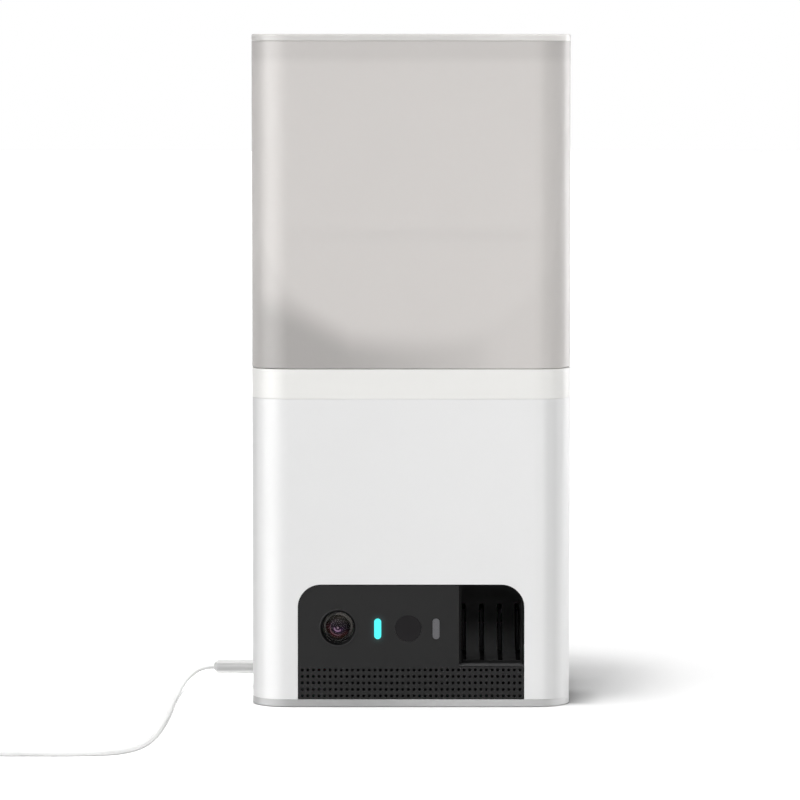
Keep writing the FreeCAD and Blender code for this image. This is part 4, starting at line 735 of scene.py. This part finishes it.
# painted light: a glow seen only by the camera brightens the paper left of the base and hides the shadows of the plug
# and the lead there
glow = t.nodes.new("ShaderNodeEmission")
place = t.nodes.new("ShaderNodeTexCoord")
part = smooth(t, axes(t, place.outputs["Object"])[0], -0.060, -0.080, 0.0, 0.24)
fx, fy, _ = axes(t, place.outputs["Object"])
painted_light_spot = calc(t, "MULTIPLY", smooth(t, fx, -0.0636, -0.0650), smooth(t, fx, -0.0945, -0.0895))
painted_light_spot = calc(t, "MULTIPLY", painted_light_spot, calc(t, "MULTIPLY", smooth(t, fy, -0.055, -0.035), smooth(t, fy, 0.070, 0.045)))
part = calc(t, "ADD", part, calc(t, "MULTIPLY", painted_light_spot, 0.6))
# painted light and painted shadow: the real shadow on the right is thinned behind the base by a glow seen only by the
# camera, and a painted shadow deepens it beside the front of the base
painted_shadow_lift = calc(t, "MULTIPLY", smooth(t, fx, 0.092, 0.062), calc(t, "GREATER_THAN", fx, 0.0))
painted_shadow_lift = calc(t, "MULTIPLY", painted_shadow_lift, calc(t, "MULTIPLY", smooth(t, fy, 0.008, 0.040), smooth(t, fy, 0.095, 0.055)))
part = calc(t, "ADD", part, calc(t, "MULTIPLY", painted_shadow_lift, 0.13))
# the paper's far edge stays white
part = calc(t, "ADD", part, smooth(t, fy, 2.0, 4.0, 0.0, 0.2))
# painted shadow: the paper's colour is darker beside the front right of the base
painted_shadow = calc(t, "MULTIPLY", smooth(t, fx, 0.0790, 0.0640), calc(t, "GREATER_THAN", fx, 0.0))
painted_shadow = calc(t, "MULTIPLY", painted_shadow, calc(t, "MULTIPLY", smooth(t, fy, -0.006, -0.028), smooth(t, fy, -0.062, -0.050)))
t.links.new(blend_colour(t, calc(t, "MULTIPLY", painted_shadow, 0.32), (0.96, 0.96, 0.96), (0.0, 0.0, 0.0)), d1.inputs["Color"])
seen_floor = t.nodes.new("ShaderNodeLightPath")
t.links.new(calc(t, "MULTIPLY", part, seen_floor.outputs["Is Camera Ray"]), glow.inputs["Strength"])
both = t.nodes.new("ShaderNodeAddShader")
t.links.new(d1.outputs[0], both.inputs[0])
t.links.new(glow.outputs[0], both.inputs[1])
t.links.new(both.outputs[0], out.inputs["Surface"])
floor_mesh.materials.append(m)

world = bpy.data.worlds.new("studio")
scene.world = world
world.use_nodes = True
t = world.node_tree
t.nodes.clear()
wo = t.nodes.new("ShaderNodeOutputWorld")
seen = t.nodes.new("ShaderNodeBackground")
seen.inputs["Color"].default_value = (1, 1, 1, 1)
seen.inputs["Strength"].default_value = 1.0
around = t.nodes.new("ShaderNodeBackground")
around.inputs["Color"].default_value = (1, 1, 1, 1)
around.inputs["Strength"].default_value = 0.12
path = t.nodes.new("ShaderNodeLightPath")
mix = t.nodes.new("ShaderNodeMixShader")
t.links.new(path.outputs["Is Camera Ray"], mix.inputs[0])
t.links.new(around.outputs[0], mix.inputs[1])
t.links.new(seen.outputs[0], mix.inputs[2])
t.links.new(mix.outputs[0], wo.inputs["Surface"])


def direction(azimuth, elevation):
    """From the object towards a light: azimuth counter-clockwise from +X."""
    a, e = math.radians(azimuth), math.radians(elevation)
    return Vector((math.cos(a) * math.cos(e), math.sin(a) * math.cos(e), math.sin(e)))


def sun(name, azimuth, elevation, size, strength, glossy=True, colour=(1, 1, 1)):
    l = bpy.data.lights.new(name, "SUN")
    l.angle = math.radians(size)
    l.energy = strength * math.pi
    l.color = colour
    o = bpy.data.objects.new(name, l)
    o.rotation_euler = direction(azimuth, elevation).to_track_quat("Z", "Y").to_euler()
    o.visible_glossy = glossy
    scene.collection.objects.link(o)
    return o


def softbox(name, azimuth, elevation, distance, width, height, radiance, centre=(0, 0, 0.13),
            diffuse=True, glossy=True, colour=(1, 1, 1)):
    """A rectangular lamp that faces centre. radiance is what its face shows."""
    l = bpy.data.lights.new(name, "AREA")
    l.shape = "RECTANGLE"
    l.size, l.size_y = width, height
    l.energy = radiance * math.pi * width * height
    l.color = colour
    o = bpy.data.objects.new(name, l)
    d = direction(azimuth, elevation)
    o.location = Vector(centre) + d * distance
    o.rotation_euler = d.to_track_quat("Z", "Y").to_euler()
    o.visible_diffuse = diffuse
    o.visible_glossy = glossy
    o.visible_camera = False
    scene.collection.objects.link(o)
    return o


LIGHTS = {
    "key_wide": sun("key_wide", 214, 80, 40, 0.56, glossy=False),
    "key_small": sun("key_small", 213, 83, 12, 0.34, glossy=False),
    "key_front": sun("key_front", 245, 76, 12, 0.08, glossy=False),
    "fill_left": softbox("fill_left", 225, 10, 2.2, 1.0, 1.0, 1.34, glossy=False),
    "near_right": softbox("near_right", 286, 0, 0.38, 0.15, 0.6, 1.22, centre=(0, 0, 0.15), glossy=False),
    "strip_left": softbox("strip_left", 212, 0, 0.55, 0.42, 1.6, 5.3, diffuse=False),
    "strip_wide": softbox("strip_wide", 224, 0, 0.55, 0.70, 1.6, 2.0, diffuse=False),
    "strip_right": softbox("strip_right", 40, 2, 1.2, 0.6, 1.6, 4.6, diffuse=False),
    "strip_back": softbox("strip_back", 26, 2, 1.2, 0.7, 1.6, 2.6, diffuse=False),
}

scene.view_settings.view_transform = "Standard"
scene.view_settings.look = "None"
scene.view_settings.exposure = 0.0
scene.view_settings.gamma = 1.0
